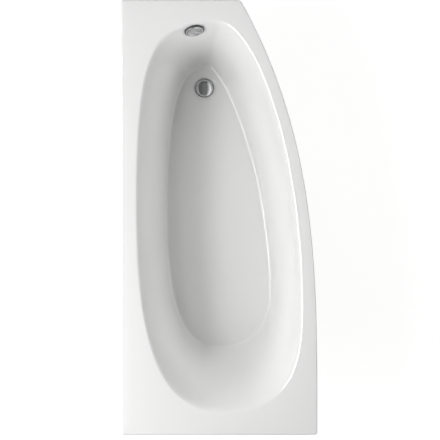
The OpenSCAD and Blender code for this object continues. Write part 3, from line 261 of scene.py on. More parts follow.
def mixed_colour(tree, share, first, second):
    """The first colour where the share is 0 and the second where it is 1."""
    node = tree.nodes.new("ShaderNodeMix")
    node.data_type = "RGBA"
    colour_sockets = [s for s in node.inputs if s.type == "RGBA"]
    for socket, value in zip([node.inputs[0]] + colour_sockets, (share, first, second)):
        feed(tree, socket, value)
    return next(s for s in node.outputs if s.type == "RGBA")


WHITE = (1.0, 1.0, 1.0, 1.0)
ALIKE = (1.0, 1.0, 1.0)  # no stretch
uneven, given, out = group_with(
    "unevenness",
    [
        ("Light Colour", "Color", WHITE), ("Dark Colour", "Color", WHITE),
        ("Stretch", "Vector", ALIKE), ("Patch Scale", "Float", 6.0),
        ("Grain Scale", "Float", 200.0), ("Grain Share", "Float", 0.3),
        ("Roughness", "Float", 0.4), ("Roughness Change", "Float", 0.1),
    ],
    [("Colour", "Color"), ("Roughness", "Float"), ("Height", "Float")],
)
coords = stretched_coords(uneven, given["Stretch"])
patches = linked(uneven, "ShaderNodeTexNoise", Vector=coords, Scale=given["Patch Scale"], Detail=4.0)
grain = linked(uneven, "ShaderNodeTexNoise", Vector=coords, Scale=given["Grain Scale"], Detail=2.0)
blend = linked(uneven, "ShaderNodeMix", Factor=given["Grain Share"], A=patches.outputs["Fac"],
               B=grain.outputs["Fac"])
share = linked(uneven, "ShaderNodeMapRange", Value=blend.outputs["Result"], From_Min=0.3, From_Max=0.7)
tint = mixed_colour(uneven, share.outputs[0], given["Dark Colour"], given["Light Colour"])
around_half = maths(uneven, "SUBTRACT", share.outputs[0], 0.5)
swing = maths(uneven, "MULTIPLY", around_half, given["Roughness Change"])
uneven.links.new(tint, out["Colour"])
uneven.links.new(maths(uneven, "ADD", given["Roughness"], swing), out["Roughness"])
uneven.links.new(blend.outputs["Result"], out["Height"])

# %% [markdown]
# Three finishes have a pattern of their own. Zinc sets in crystals and chipboard is pressed from flakes,
# and both are patchworks of small cells. Sawn pine has rings that run along the board. Glass fibre is a
# mat of short strands that lie every way. Each pattern is a mask that shifts a finish's colour and gloss.

# %% Node group: patchwork
def pattern_group(name, inputs):
    """A group that has a scale and gives a mask."""
    return group_with(name, [("Scale", "Float", 100.0)] + inputs, [("Mask", "Float")])


patchwork, given, out = pattern_group("patchwork", [("Stretch", "Vector", ALIKE)])
coords = stretched_coords(patchwork, given["Stretch"])
cells = linked(patchwork, "ShaderNodeTexVoronoi", Vector=coords, Scale=given["Scale"])
shade_of_cell = linked(patchwork, "ShaderNodeSeparateColor", Color=cells.outputs["Color"])
patchwork.links.new(shade_of_cell.outputs[0], out["Mask"])

# %% Node group: growth rings
growth_rings, given, out = pattern_group("growth_rings", [("Stretch", "Vector", ALIKE)])
coords = stretched_coords(growth_rings, given["Stretch"])
wobble = linked(growth_rings, "ShaderNodeTexNoise", Vector=coords, Scale=14.0, Detail=3.0)
x, y, z = linked(growth_rings, "ShaderNodeSeparateXYZ", Vector=coords).outputs
tilted = maths(growth_rings, "ADD", z, maths(growth_rings, "ADD", y, x))
wavy = maths(growth_rings, "ADD", tilted, maths(growth_rings, "MULTIPLY", wobble.outputs["Fac"], 0.05))
phase = maths(growth_rings, "FRACT", maths(growth_rings, "MULTIPLY", wavy, given["Scale"]))
late_wood = maths(growth_rings, "POWER", phase, 3.0)
growth_rings.links.new(late_wood, out["Mask"])

# %% Node group: strands
strands, given, out = pattern_group("strands", [("Thickness", "Float", 0.06)])
coords = strands.nodes.new("ShaderNodeTexCoord").outputs["Object"]
lines = []
for turn in (0.3, 1.1, 1.9, 2.7):
    drawn_out = linked(strands, "ShaderNodeMapping", Vector=coords, Rotation=(turn, 0.7 * turn, turn),
                       Scale=(0.07, 1.0, 1.0)).outputs[0]
    streaks = linked(strands, "ShaderNodeTexNoise", Vector=drawn_out, Scale=given["Scale"], Detail=0.0)
    off_middle = maths(strands, "ABSOLUTE", maths(strands, "SUBTRACT", streaks.outputs["Fac"], 0.5))
    near = maths(strands, "DIVIDE", off_middle, given["Thickness"])
    lines.append(highest(strands, maths(strands, "SUBTRACT", 1.0, near), 0.0))
strands.links.new(highest(strands, *lines), out["Mask"])

# %% Material helper
def grouped(tree, group, values):
    """The outputs of a node for the group, whose inputs are set to the values by name."""
    node = tree.nodes.new("ShaderNodeGroup")
    node.node_tree = group
    for label, value in values.items():
        node.inputs[label].default_value = value
    return node.outputs


def finish(name, light, dark, roughness, *, patch, change=0.1, grain=200.0, share=0.3, stretch=ALIKE,
           relief=0.0, depth=0.0002, metallic=0.0, ior=1.5,
           pattern=None, pattern_values=None, pattern_colour=None, pattern_share=0.5, pattern_rise=0.3):
    """A Principled material whose colour, gloss and relief come from the unevenness group, and from one
    of the patterns where there is one."""
    material = bpy.data.materials.new(name)
    material.use_nodes = True
    tree = material.node_tree
    shader = tree.nodes["Principled BSDF"]
    surface = grouped(tree, uneven, {
        "Light Colour": (*light, 1.0), "Dark Colour": (*dark, 1.0), "Stretch": stretch,
        "Patch Scale": patch, "Grain Scale": grain, "Grain Share": share,
        "Roughness": roughness, "Roughness Change": change,
    })
    colour, height = surface["Colour"], surface["Height"]
    if pattern:
        marks = grouped(tree, pattern, pattern_values)["Mask"]
        strength = maths(tree, "MULTIPLY", marks, pattern_share)
        colour = mixed_colour(tree, strength, colour, (*pattern_colour, 1.0))
        height = maths(tree, "ADD", height, maths(tree, "MULTIPLY", marks, pattern_rise))
    feed(tree, shader.inputs["Base Color"], colour)
    feed(tree, shader.inputs["Roughness"], surface["Roughness"])
    feed(tree, shader.inputs["Metallic"], metallic)
    feed(tree, shader.inputs["IOR"], ior)
    if relief:
        bump = linked(tree, "ShaderNodeBump", Strength=relief, Distance=depth, Height=height)
        feed(tree, shader.inputs["Normal"], bump.outputs[0])
    return material


# %% [markdown]
# ## The finishes
#
# Acrylic is a bright, even white with a polished skin that has a faint ripple. The glass fibre is
# sprayed on, so it is lumpy and straw-coloured. Chrome is almost a mirror. The rest are the plain
# materials of plumbing and joinery.

# %% Materials, one for each slot of the record
acrylic = finish("white_acrylic", (0.845, 0.845, 0.84), (0.83, 0.83, 0.825), 0.14, change=0.04,
                 patch=3.0, grain=40.0, share=0.2, relief=0.03, depth=0.0004, ior=1.49)
glass_fibre = finish("sprayed_glass_fibre", (0.76, 0.71, 0.54), (0.58, 0.52, 0.37), 0.45, change=0.3,
                     patch=14.0, grain=160.0, share=0.4, relief=1.0, depth=0.002, pattern=strands,
                     pattern_values={"Scale": 160.0, "Thickness": 0.05},
                     pattern_colour=(0.90, 0.88, 0.78), pattern_share=0.6, pattern_rise=0.5)
chipboard = finish("resin_sealed_board", (0.66, 0.52, 0.34), (0.44, 0.33, 0.19), 0.55, patch=30.0,
                   grain=500.0, share=0.5, relief=0.6, depth=0.0005, pattern=patchwork,
                   pattern_values={"Scale": 260.0, "Stretch": (0.35, 1.0, 1.0)},
                   pattern_colour=(0.80, 0.68, 0.47), pattern_share=0.6, pattern_rise=0.2)


def pine(name, axis):
    """Sawn pine with its grain and its rings along the axis of that number."""
    grain_stretch, ring_stretch = [1.0, 1.0, 1.0], [1.0, 1.0, 0.35]
    grain_stretch[axis], ring_stretch[axis] = 0.04, 0.03
    return finish(name, (0.78, 0.60, 0.38), (0.68, 0.49, 0.28), 0.6, patch=60.0, grain=900.0,
                  stretch=grain_stretch, relief=0.5, depth=0.0004, pattern=growth_rings,
                  pattern_values={"Scale": 190.0, "Stretch": ring_stretch},
                  pattern_colour=(0.47, 0.28, 0.12), pattern_share=0.7, pattern_rise=0.3)


pine_along_x, pine_along_y = pine("pine_along_x", 0), pine("pine_along_y", 1)
galvanised = finish("galvanised_steel", (0.64, 0.66, 0.68), (0.55, 0.57, 0.60), 0.36, change=0.2,
                    patch=20.0, grain=400.0, share=0.3, metallic=1.0, pattern=patchwork,
                    pattern_values={"Scale": 110.0}, pattern_colour=(0.86, 0.88, 0.90),
                    pattern_share=0.6, pattern_rise=0.0)
zinc = finish("zinc_plated_steel", (0.74, 0.74, 0.70), (0.62, 0.61, 0.52), 0.3, change=0.15,
              patch=80.0, metallic=1.0)
nylon = finish("black_nylon", (0.11, 0.11, 0.11), (0.07, 0.07, 0.07), 0.5, patch=60.0, grain=1500.0,
               relief=0.3, depth=0.0001)
chrome = finish("bright_chrome", (0.56, 0.565, 0.57), (0.51, 0.515, 0.52), 0.06, change=0.04, patch=30.0,
                grain=300.0, metallic=1.0)
stainless = finish("drawn_steel", (0.66, 0.66, 0.65), (0.52, 0.52, 0.51), 0.3, patch=50.0,
                   metallic=1.0)
rubber = finish("black_rubber", (0.08, 0.08, 0.08), (0.05, 0.05, 0.05), 0.75, patch=70.0,
                grain=900.0, relief=0.4, depth=0.0001)
white_plastic = finish("white_polypropylene", (0.88, 0.88, 0.86), (0.83, 0.83, 0.80), 0.42,
                       patch=25.0, grain=900.0, relief=0.15, depth=0.0001)
acetal = finish("natural_acetal", (0.80, 0.73, 0.48), (0.72, 0.64, 0.38), 0.4, patch=60.0)
hose_grey = finish("grey_hose", (0.46, 0.47, 0.48), (0.36, 0.37, 0.38), 0.5, patch=40.0, grain=700.0,
                   relief=0.2, depth=0.0001)
cable_black = finish("black_sheath", (0.12, 0.12, 0.12), (0.08, 0.08, 0.08), 0.45, patch=60.0)

SLOT_FINISH = {
    "acrylic": acrylic, "fibreglass": glass_fibre, "board": chipboard, "timber": pine_along_x,
    "galvanised": galvanised, "zinc_screws": zinc, "pad_plastic": nylon, "chrome": chrome,
    "steel": stainless, "rubber": rubber, "white_plastic": white_plastic, "rocker_plastic": acetal,
    "hose_plastic": hose_grey, "cable_sheath": cable_black,
}
node_slot = {row["node"]: row["material_slot"] for row in frame["record"]["subparts"]}
for name, node in frame["nodes"].items():
    node.data.materials.clear()
    along_y = name in ("tap_end_batten", "foot_end_batten")
    node.data.materials.append(pine_along_y if along_y else SLOT_FINISH[node_slot[name]])
print(len(SLOT_FINISH), "finishes on", len(frame["nodes"]), "nodes")

# %% [markdown]
# ## Putting a piece in the scene
#
# Every new piece is one bmesh that ends up as an object at the origin, with its place in its mesh, on
# the body that carries it, and in the stead of its plain CAD node.

# %% Piece helper
node_body = {n: body for body, names in frame["record"]["behaviour"]["bodies"].items() for n in names}
remade = set()  # the CAD nodes that have a new piece in their place


def piece(name, bm, material, node, sharp=35.0, transform=None):
    """Makes the bmesh an object in the place of a CAD node, shaded smooth between sharp edges."""
    if transform is not None:
        bm.transform(transform)
    mesh = bpy.data.meshes.new(name)
    bm.to_mesh(mesh)
    bm.free()
    mesh.materials.append(material)
    mesh.shade_smooth()
    mesh.set_sharp_from_angle(angle=math.radians(sharp))
    made = bpy.data.objects.new(name, mesh)
    bpy.context.scene.collection.objects.link(made)
    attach(made, node_body[node])
    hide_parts(node)
    remade.add(node)
    print(name, len(mesh.polygons), "faces")
    return made


# %% [markdown]
# ## The curves of the bath
#
# Three closed curves shape the bath: the outline of the rim, the edge of the well and the edge of the
# floor. The last two are made of four cubic curves each, flat at their four extremes. The section
# through the wall joins them: a rolled edge, a wall that gets steeper on its way down, and a curve into
# the floor.

# %% Curves in plan
HALF_LENGTH, HALF_WIDTH = 775 * MM, 350 * MM
FRONT_DROP = 274 * MM  # by which the tap end stands back at the front
FRONT_START = 88 * MM - HALF_LENGTH
FRONT_RUN = 1462 * MM
FRONT_POWER = 3
CORNER = 10 * MM
QUARTER, CORNER_STEPS = 80, 16
END_STEPS = (32, 32, 32, 8)  # sectors along the end, in each quarter; the narrow end takes few
SECTORS = 4 * QUARTER


def front_inset(x):
    """How far the front edge stands back at x."""
    return FRONT_DROP * (max(0.0, x - FRONT_START) / FRONT_RUN) ** FRONT_POWER


def front_slope(x):
    share = max(0.0, x - FRONT_START) / FRONT_RUN
    return FRONT_DROP * FRONT_POWER / FRONT_RUN * share ** (FRONT_POWER - 1)


WELL_FRONT_X = -344.875 * MM
FRONT_RIM, FRONT_WALL_RUN = 52 * MM, 106 * MM
WELL_ENDS = [
    Vector((700, 10)) * MM, Vector((44.95, 295)) * MM, Vector((-692, -15)) * MM,
    Vector((WELL_FRONT_X, FRONT_RIM - HALF_WIDTH + front_inset(WELL_FRONT_X))),
]
FLOOR_ENDS = [
    Vector((547, 41)) * MM, Vector((3.875, 190)) * MM, Vector((-466, 0)) * MM,
    Vector((-276.675 * MM, WELL_ENDS[3].y + FRONT_WALL_RUN)),
]
WELL_FULLNESS = [(0.81, 0.85), (0.70, 0.72), (0.61, 0.78), (0.58, 0.43)]
FLOOR_FULLNESS = [(0.72, 0.70), (0.75, 0.62), (0.52, 0.59), (0.53, 0.27)]


def mix(a, b, t):
    return a + (b - a) * t


def cubic(a, b, c, d, t):
    return (1 - t) ** 3 * a + 3 * (1 - t) ** 2 * t * b + 3 * (1 - t) * t * t * c + t ** 3 * d


def egg(ends, fullness, place):
    """A point of a closed curve of four quarters; place runs from 0 to 4."""
    q = int(place) % 4
    t = place - int(place)
    a, d = ends[q], ends[(q + 1) % 4]
    first, last = fullness[q]
    if q % 2:
        b, c = Vector((mix(a.x, d.x, first), a.y)), Vector((d.x, mix(d.y, a.y, last)))
    else:
        b, c = Vector((a.x, mix(a.y, d.y, first))), Vector((mix(d.x, a.x, last), d.y))
    return cubic(a, b, c, d, t)


def bow(a, b, c, t):
    """A point of the curve that leaves a and reaches c, both towards b, and its direction there."""
    return (1 - t) ** 2 * a + 2 * (1 - t) * t * b + t * t * c, mix(b - a, c - b, t)


def outline_point(j):
    """A point of the rim's outline and its outward normal, at sector j."""
    q, k = divmod(j, QUARTER)
    sx = 1 if q in (0, 3) else -1
    leg_x = sx * (HALF_LENGTH - CORNER)
    if q < 2:
        side = Vector((leg_x, HALF_WIDTH))
        corner = Vector((sx * HALF_LENGTH, HALF_WIDTH))
        end = corner - Vector((0, CORNER))
        middle = Vector((WELL_ENDS[1].x, HALF_WIDTH))
    else:
        side = Vector((leg_x, front_inset(leg_x) - HALF_WIDTH))
        corner = Vector((sx * HALF_LENGTH, side.y + CORNER * front_slope(leg_x) * sx))
        end = corner + Vector((0, CORNER))
        middle = Vector((WELL_FRONT_X, front_inset(WELL_FRONT_X) - HALF_WIDTH))
    end_middle = Vector((corner.x, WELL_ENDS[0].y if sx > 0 else WELL_ENDS[2].y))
    from_end = q % 2 == 0
    k = k if from_end else QUARTER - k
    flip = 1 if from_end else -1
    end_steps = END_STEPS[q]
    if k <= end_steps:
        point, way = mix(end_middle, end, k / end_steps), end - end_middle
    elif k < end_steps + CORNER_STEPS:
        point, way = bow(end, corner, side, (k - end_steps) / CORNER_STEPS)
    else:
        t = (k - end_steps - CORNER_STEPS) / (QUARTER - end_steps - CORNER_STEPS)
        point, way = mix(side, middle, t), middle - side
        if q > 1:
            point.y = front_inset(point.x) - HALF_WIDTH
            way = Vector((-sx, -sx * front_slope(point.x)))
    way = way.normalized() * flip
    return point, Vector((way.y, -way.x))


outline = [outline_point(j) for j in range(SECTORS)]
well_edge = [egg(WELL_ENDS, WELL_FULLNESS, j / QUARTER) for j in range(SECTORS)]
floor_edge = [egg(FLOOR_ENDS, FLOOR_FULLNESS, j / QUARTER) for j in range(SECTORS)]
wall_run = [(f - w).length for f, w in zip(floor_edge, well_edge)]
wall_way = [(f - w).normalized() for f, w in zip(floor_edge, well_edge)]
print("outline of", SECTORS, "sectors, wall runs", round(min(wall_run), 3), "to", round(max(wall_run), 3))

# %% Section through the wall
RIM_Z, WELL_DEPTH, SHELL = 560 * MM, 400 * MM, 5 * MM
FLOOR_Z = RIM_Z - WELL_DEPTH
WALL_POWER = 1.3
ROLL_DROP, ROLL_REACH = 12 * MM, 6 * MM
FILLET_DROP, FILLET_REACH = 16 * MM, 9 * MM
WASTE = Vector((465, 53)) * MM
FALL = math.tan(math.radians(0.5))


def floor_at(x):
    return FLOOR_Z + (WASTE.x - x) * FALL


def wall_share(drop, depth):
    """The share of the wall's run after which it has dropped that far."""
    return (drop / depth) ** (1 / WALL_POWER)


def wall_steep(share, depth, run):
    """Drop for each unit of run, at a share of the wall's run."""
    return WALL_POWER * depth / run * share ** (WALL_POWER - 1)


def section(depth, run, station):
    """Run from the well's edge, height and angle of descent; stations 0 to 1 are the roll, 1 to 2 the
    wall and 2 to 3 the curve to the floor."""
    if station < 1:
        share = wall_share(ROLL_DROP, depth)
        steep = wall_steep(share, depth, run)
        point, way = bow(Vector((-ROLL_REACH, RIM_Z)), Vector((run * share - ROLL_DROP / steep, RIM_Z)),
                         Vector((run * share, RIM_Z - ROLL_DROP)), station)
        return point.x, point.y, math.atan2(-way.y, way.x)
    if station < 2:
        drop = mix(ROLL_DROP, depth - FILLET_DROP, station - 1)
        share = wall_share(drop, depth)
        return run * share, RIM_Z - drop, math.atan(wall_steep(share, depth, run))
    share = wall_share(depth - FILLET_DROP, depth)
    steep = wall_steep(share, depth, run)
    low = RIM_Z - depth
    start = Vector((run * share, low + FILLET_DROP))
    turn = Vector((start.x + FILLET_DROP / steep, low))
    point, way = bow(start, turn, Vector((turn.x + FILLET_REACH, low)), station - 2)
    return point.x, point.y, math.atan2(-way.y, way.x)


def face_ring(station, inwards=0.0):
    """The ring of the inner face at a station, moved into the wall by the depth given."""
    ring = []
    for j in range(SECTORS):
        level = floor_at(floor_edge[j].x)
        run, z, angle = section(RIM_Z - level, wall_run[j], station)
        xy = well_edge[j] + wall_way[j] * (run - inwards * math.sin(angle))
        fall = max(0.0, station - 2) * (floor_at(xy.x) - level)
        ring.append(Vector((xy.x, xy.y, z + fall - inwards * math.cos(angle))))
    return ring


def edge_ring(inset, z):
    """The rim's outline, moved inwards, at one height."""
    return [Vector((*(p - n * inset), z)) for p, n in outline]


floor_ring = face_ring(3)


def waste_ring(radius, z, inwards=0.0):
    """A ring round the waste, level at z, or on the slope of the floor where z is None."""
    ring = []
    for p in floor_ring:
        xy = WASTE + (p.xy - WASTE).normalized() * radius
        ring.append(Vector((*xy, (floor_at(xy.x) if z is None else z) - inwards)))
    return ring


def next_ring(bm, ring, points):
    """Extrudes a closed ring of vertices and puts the new ones on the points."""
    edges = [bm.edges.get((ring[i - 1], ring[i])) for i in range(len(ring))]
    made = set(bmesh.ops.extrude_edge_only(bm, edges=edges)["geom"])
    following = []
    for vert, point in zip(ring, points):
        new = next(e.other_vert(vert) for e in vert.link_edges if e.other_vert(vert) in made)
        new.co = point
        following.append(new)
    return following


def ring_skin(rings, closed=True):
    """A skin over rings of points; closed, the last ring meets the first."""
    bm = bmesh.new()
    ring = bmesh.ops.create_circle(bm, segments=len(rings[0]), radius=1.0)["verts"]
    for vert, point in zip(ring, rings[0]):
        vert.co = point
    for points in rings[1:] + (rings[:1] if closed else []):
        ring = next_ring(bm, ring, points)
    bmesh.ops.remove_doubles(bm, verts=bm.verts, dist=WELD)
    bmesh.ops.recalc_face_normals(bm, faces=bm.faces)
    return bm


# %% [markdown]
# ## The acrylic shell
#
# The real shell is one sheet drawn into a mould. Here one ring of vertices is extruded along the whole
# section: up the skirt, over the rim, down the wall, across the floor to the waste, and back on the
# outside. The hole for the overflow is cut at the end, because it crosses the rings at a slant.

# %% Overflow's place
OVERFLOW_AT, OVERFLOW_DROP = 0.13, 36 * MM


def wall_point(place, share):
    """The wall's point at a place round the well and a share of the way down it."""
    edge = egg(WELL_ENDS, WELL_FULLNESS, place)
    foot = egg(FLOOR_ENDS, FLOOR_FULLNESS, place)
    xy = mix(edge, foot, share)
    return Vector((*xy, RIM_Z - (RIM_Z - floor_at(foot.x)) * share ** WALL_POWER))


overflow_depth = RIM_Z - floor_at(egg(FLOOR_ENDS, FLOOR_FULLNESS, OVERFLOW_AT).x)
overflow_share = wall_share(OVERFLOW_DROP, overflow_depth)
overflow_pos = wall_point(OVERFLOW_AT, overflow_share)
TINY = 0.001
overflow_normal = (wall_point(OVERFLOW_AT + TINY, overflow_share) - overflow_pos).cross(
    wall_point(OVERFLOW_AT, overflow_share + TINY) - overflow_pos).normalized()
across = Vector((0, 0, 1)).cross(overflow_normal).normalized()
up_wall = across.cross(overflow_normal).normalized() * -1
# Local +Z points into the bath, +X up the wall and Y along it
at_overflow = Matrix.Translation(overflow_pos) @ Matrix(
    [[up_wall[i], overflow_normal.cross(up_wall)[i], overflow_normal[i]] for i in range(3)]).to_4x4()
print("overflow at", [round(x, 4) for x in overflow_pos], "facing", [round(x, 4) for x in overflow_normal])


def cut_away(target, bm):
    """Cuts what the bmesh fills out of the target."""
    mesh = bpy.data.meshes.new("drill")
    bm.to_mesh(mesh)
    bm.free()
    drill = bpy.data.objects.new("drill", mesh)
    bpy.context.scene.collection.objects.link(drill)
    hole = target.modifiers.new("hole", "BOOLEAN")
    hole.object = drill
    hole.operation = "DIFFERENCE"
    hole.solver = "EXACT"
    bpy.context.view_layer.update()
    with bpy.context.temp_override(object=target, active_object=target, selected_objects=[target]):
        bpy.ops.object.modifier_apply(modifier="hole")
    bpy.data.objects.remove(drill)


def cut_round_hole(target, radius, low, high):
    """Cuts a round hole along the overflow's axis, between two depths."""
    bm = bmesh.new()
    bmesh.ops.create_cone(bm, cap_ends=True, segments=96, radius1=radius, radius2=radius, depth=high - low,
                          matrix=at_overflow @ Matrix.Translation((0, 0, (low + high) / 2)))
    cut_away(target, bm)


# %% Shell
EDGE_R, SKIRT_Z = 5 * MM, 525 * MM
DISH_R, DISH_Z, WASTE_HOLE_R = 46 * MM, 157 * MM, 26 * MM
DISH_SLOPE = 6 * MM  # from the edge of the dish to its level part
OVERFLOW_HOLE_R, OVERFLOW_HOLE_SPAN = 26 * MM, (-11 * MM, 7 * MM)
WALL_CROWDING = 1.5  # the higher, the closer together the rings are at the top of the wall


def even(count):
    """Shares from 0 to 1 in that many equal steps."""
    return [i / count for i in range(count + 1)]


def stations(roll_steps, wall_steps, fillet_steps):
    """Stations from the well's edge to the floor, closest together at the top of the wall."""
    wall = [1 + share ** WALL_CROWDING for share in even(wall_steps)]
    return even(roll_steps)[:-1] + wall[:-1] + [2 + share for share in even(fillet_steps)]


inner_stations, outer_stations = stations(8, 24, 12), stations(4, 12, 4)
edge_turn = [math.radians(90 * share) for share in even(8)]
dish_turn = [(mix(DISH_R, DISH_R - DISH_SLOPE, t), t * t * (3 - 2 * t)) for t in even(5)]


def dish_ring(radius, share, inwards):
    """A ring of the dish, between the floor's slope at its edge and its own level."""
    sloping = waste_ring(radius, None, inwards)
    return [Vector((p.x, p.y, mix(p.z, DISH_Z - inwards, share))) for p in sloping]


shell_rings = [edge_ring(0, SKIRT_Z)]
shell_rings += [edge_ring(EDGE_R * (1 - math.cos(a)), RIM_Z - EDGE_R * (1 - math.sin(a)))
                for a in edge_turn]
shell_rings += [face_ring(s) for s in inner_stations]
shell_rings += [dish_ring(r, share, 0) for r, share in dish_turn]
shell_rings += [waste_ring(WASTE_HOLE_R, DISH_Z), waste_ring(WASTE_HOLE_R, DISH_Z - SHELL)]
shell_rings += [dish_ring(r, share, SHELL) for r, share in reversed(dish_turn)]
shell_rings += [face_ring(s, SHELL) for s in reversed(outer_stations)]
shell_rings += [edge_ring(SHELL, RIM_Z - SHELL), edge_ring(SHELL, SKIRT_Z)]
shell = piece("acrylic_shell", ring_skin(shell_rings), acrylic, "bath_shell", sharp=40.0)
lit_by_glint.objects.link(shell)
cut_round_hole(shell, OVERFLOW_HOLE_R, *OVERFLOW_HOLE_SPAN)

# %% [markdown]
# ## The glass-fibre backing
#
# Chopped glass strands and resin are sprayed on the back of the sheet and rolled down by hand. The skin
# follows the shell and stops short of the waste; its lumps and strands are relief in the material.

# %% Backing
BACK_IN, BACK_OUT = 5.2 * MM, 9.2 * MM
BACKING_EDGE, BACKING_END = 6 * MM, 54 * MM
BACKING_HOLE_R, BACKING_HOLE_SPAN = 38.5 * MM, (-18 * MM, 6 * MM)
backing_rings = [edge_ring(BACKING_EDGE, RIM_Z - BACK_IN)]
backing_rings += [face_ring(s, BACK_IN) for s in outer_stations]
backing_rings += [waste_ring(BACKING_END, None, BACK_IN), waste_ring(BACKING_END, None, BACK_OUT)]
backing_rings += [face_ring(s, BACK_OUT) for s in reversed(outer_stations)]
backing_rings += [edge_ring(BACKING_EDGE, RIM_Z - BACK_OUT)]
backing = piece("glass_fibre_skin", ring_skin(backing_rings), glass_fibre, "fibreglass_backing")
cut_round_hole(backing, BACKING_HOLE_R, *BACKING_HOLE_SPAN)

# %% [markdown]
# ## The overflow hose and the control cable
#
# Both run from the waste up to the overflow. They leave the lower fitting level, bend upright in one
# easy quarter and climb straight into the upper one. The hose is swept as rings that go in and out for
# its ribs, the cable as a plain round sheath.

# %% Route of a hose or cable
BEND_TOP, BEND_HANDLE = 307.738 * MM, 0.58


def climbing_route(start, end, lead, bend_spans, rise_spans):
    """Points from start, straight for the lead, round the bend and up, and straight again to end."""
    low, high = start + Vector((lead, 0, 0)), end - Vector((0, 0, lead))
    turn = Vector((end.x, end.y, BEND_TOP))
    first = low + Vector((BEND_HANDLE * (turn.x - low.x), 0, 0))
    last = turn - Vector((0, 0, BEND_HANDLE * (turn.z - low.z)))
    bend = [cubic(low, first, last, turn, i / bend_spans) for i in range(bend_spans + 1)]
    rise = [mix(turn, high, i / rise_spans) for i in range(1, rise_spans + 1)]
    return [start, mix(start, low, 0.5)] + bend + rise + [mix(high, end, 0.5), end]


def smooth_route(points, steps):
    """A smooth curve through the points, in that many steps from one to the next."""
    last = len(points) - 1
    route = []
    for n in range(last * steps + 1):
        i = min(n // steps, last - 1)
        t = n / steps - i
        p0, p1, p2, p3 = (points[min(max(i + k, 0), last)] for k in (-1, 0, 1, 2))
        route.append(0.5 * (2 * p1 + (p2 - p0) * t + (2 * p0 - 5 * p1 + 4 * p2 - p3) * t ** 2
                            + (3 * p1 - p0 - 3 * p2 + p3) * t ** 3))
    return route


def path_length(route):
    return sum((b - a).length for a, b in zip(route, route[1:]))


def even_route(route, count):
    """The same route as points at even distances."""
    spacing = path_length(route) / (count - 1)
    made, walked, due = [route[0]], 0.0, spacing
    for a, b in zip(route, route[1:]):
        step = (b - a).length
        while len(made) < count - 1 and walked + step >= due:
            made.append(mix(a, b, (due - walked) / step))
            due += spacing
        walked += step
    return made + [route[-1]]


def ring_round(route, i, radius, sides):
    """A ring of points round a route at its point i, square to it."""
    way = (route[min(i + 1, len(route) - 1)] - route[max(i - 1, 0)]).normalized()
    side = way.cross(Vector((0, 1, 0))).normalized()
    up = side.cross(way)
    return [route[i] + radius * (math.cos(a) * side + math.sin(a) * up)
            for a in (2 * math.pi * k / sides for k in range(sides))]


# %% Overflow hose
HOSE_R, HOSE_BORE_R, CUFF, RIB_PITCH, HOSE_SIDES = 14 * MM, 10.3 * MM, 30 * MM, 6 * MM, 32
GROOVES = (0.3 * MM, 1.8 * MM, 1.6 * MM, 0.0)  # depth of the four rings of one rib
BORE_STEP = 6  # the smooth bore has one ring for that many outside
hose_points = climbing_route(
    Vector((495, 53, 124)) * MM, Vector((692.403, 93.762, 472.069)) * MM, CUFF, 11, 5)
hose_route = smooth_route(hose_points, 20)
rings = round(path_length(hose_route) / RIB_PITCH * len(GROOVES))
hose_route = even_route(hose_route, rings + 1)
cuff = round(CUFF / RIB_PITCH * len(GROOVES))
last = len(hose_route) - 1
hose_rings = []
for i in range(last + 1):
    ribbed = cuff < i < last - cuff
    groove = GROOVES[(i - cuff) % len(GROOVES)] if ribbed else 0.0
    if ribbed or i in (0, cuff, last - cuff, last):
        hose_rings.append(ring_round(hose_route, i, HOSE_R - groove, HOSE_SIDES))
bore_rings = [ring_round(hose_route, i, HOSE_BORE_R, HOSE_SIDES) for i in range(last, -1, -BORE_STEP)]
hose = piece("ribbed_overflow_hose", ring_skin(hose_rings + bore_rings), hose_grey, "overflow_hose",
             sharp=60.0)
print("hose", round(path_length(hose_route), 3), "m long, ribs:", (rings - 2 * cuff) // len(GROOVES))

# %% Control cable
CABLE_R, CABLE_LEAD, CABLE_SIDES = 2.5 * MM, 12 * MM, 20
cable_points = climbing_route(
    Vector((555, 20.2, 137.291)) * MM, Vector((696.582, 72.468, 468.069)) * MM, CABLE_LEAD, 12, 6)
cable_route = smooth_route(cable_points, 6)
cable_rings = [ring_round(cable_route, i, CABLE_R, CABLE_SIDES) for i in range(len(cable_route))]
bm = ring_skin(cable_rings, closed=False)
bmesh.ops.holes_fill(bm, edges=[e for e in bm.edges if e.is_boundary], sides=CABLE_SIDES)
cable = piece("control_cable_sheath", bm, cable_black, "control_cable")
print("cable", round(path_length(cable_route), 3), "m long")

# %% [markdown]
# ## Turned fittings
#
# The plug's cap, the flange, the rosette and the knob are turned parts. A profile of a few points is spun
# round the axis, and a bevel softens its corners, as polishing does before the chrome goes on. The
# rosette's outer edge carries a black band of rubber. It is partly a gasket and partly painted shade for
# the dark reflection and the shadow there. Lengths in these profiles are in millimetres.

# %% Spin helper
def turned(profile, steps=128, bm=None):
    """Spins a profile of (radius, height) in millimetres round Z, into a new bmesh or one given."""
    bm = bm or bmesh.new()
    old = set(bm.verts)
    verts = [bm.verts.new((r * MM, 0, z * MM)) for r, z in profile]
    edges = [bm.edges.new(pair) for pair in zip(verts, verts[1:])]
    bmesh.ops.spin(bm, geom=verts + edges, cent=(0, 0, 0), axis=(0, 0, 1), angle=2 * math.pi,
                   steps=steps, use_merge=True)
    fresh = [v for v in bm.verts if v not in old]
    bmesh.ops.remove_doubles(bm, verts=fresh, dist=WELD)
    bmesh.ops.recalc_face_normals(bm, faces=bm.faces)
    return bm


def block(bm, size, matrix):
    """Adds a box of the size in millimetres, centred on the matrix's origin."""
    scale = Matrix.Diagonal((*(x * MM for x in size), 1))
    return bmesh.ops.create_cube(bm, size=1.0, matrix=matrix @ scale)["verts"]


def moved(x, y, z, turn):
    """A turn about Z, in degrees, of what lies at (x, y, z) in millimetres."""
    return Matrix.Rotation(math.radians(turn), 4, "Z") @ Matrix.Translation(Vector((x, y, z)) * MM)


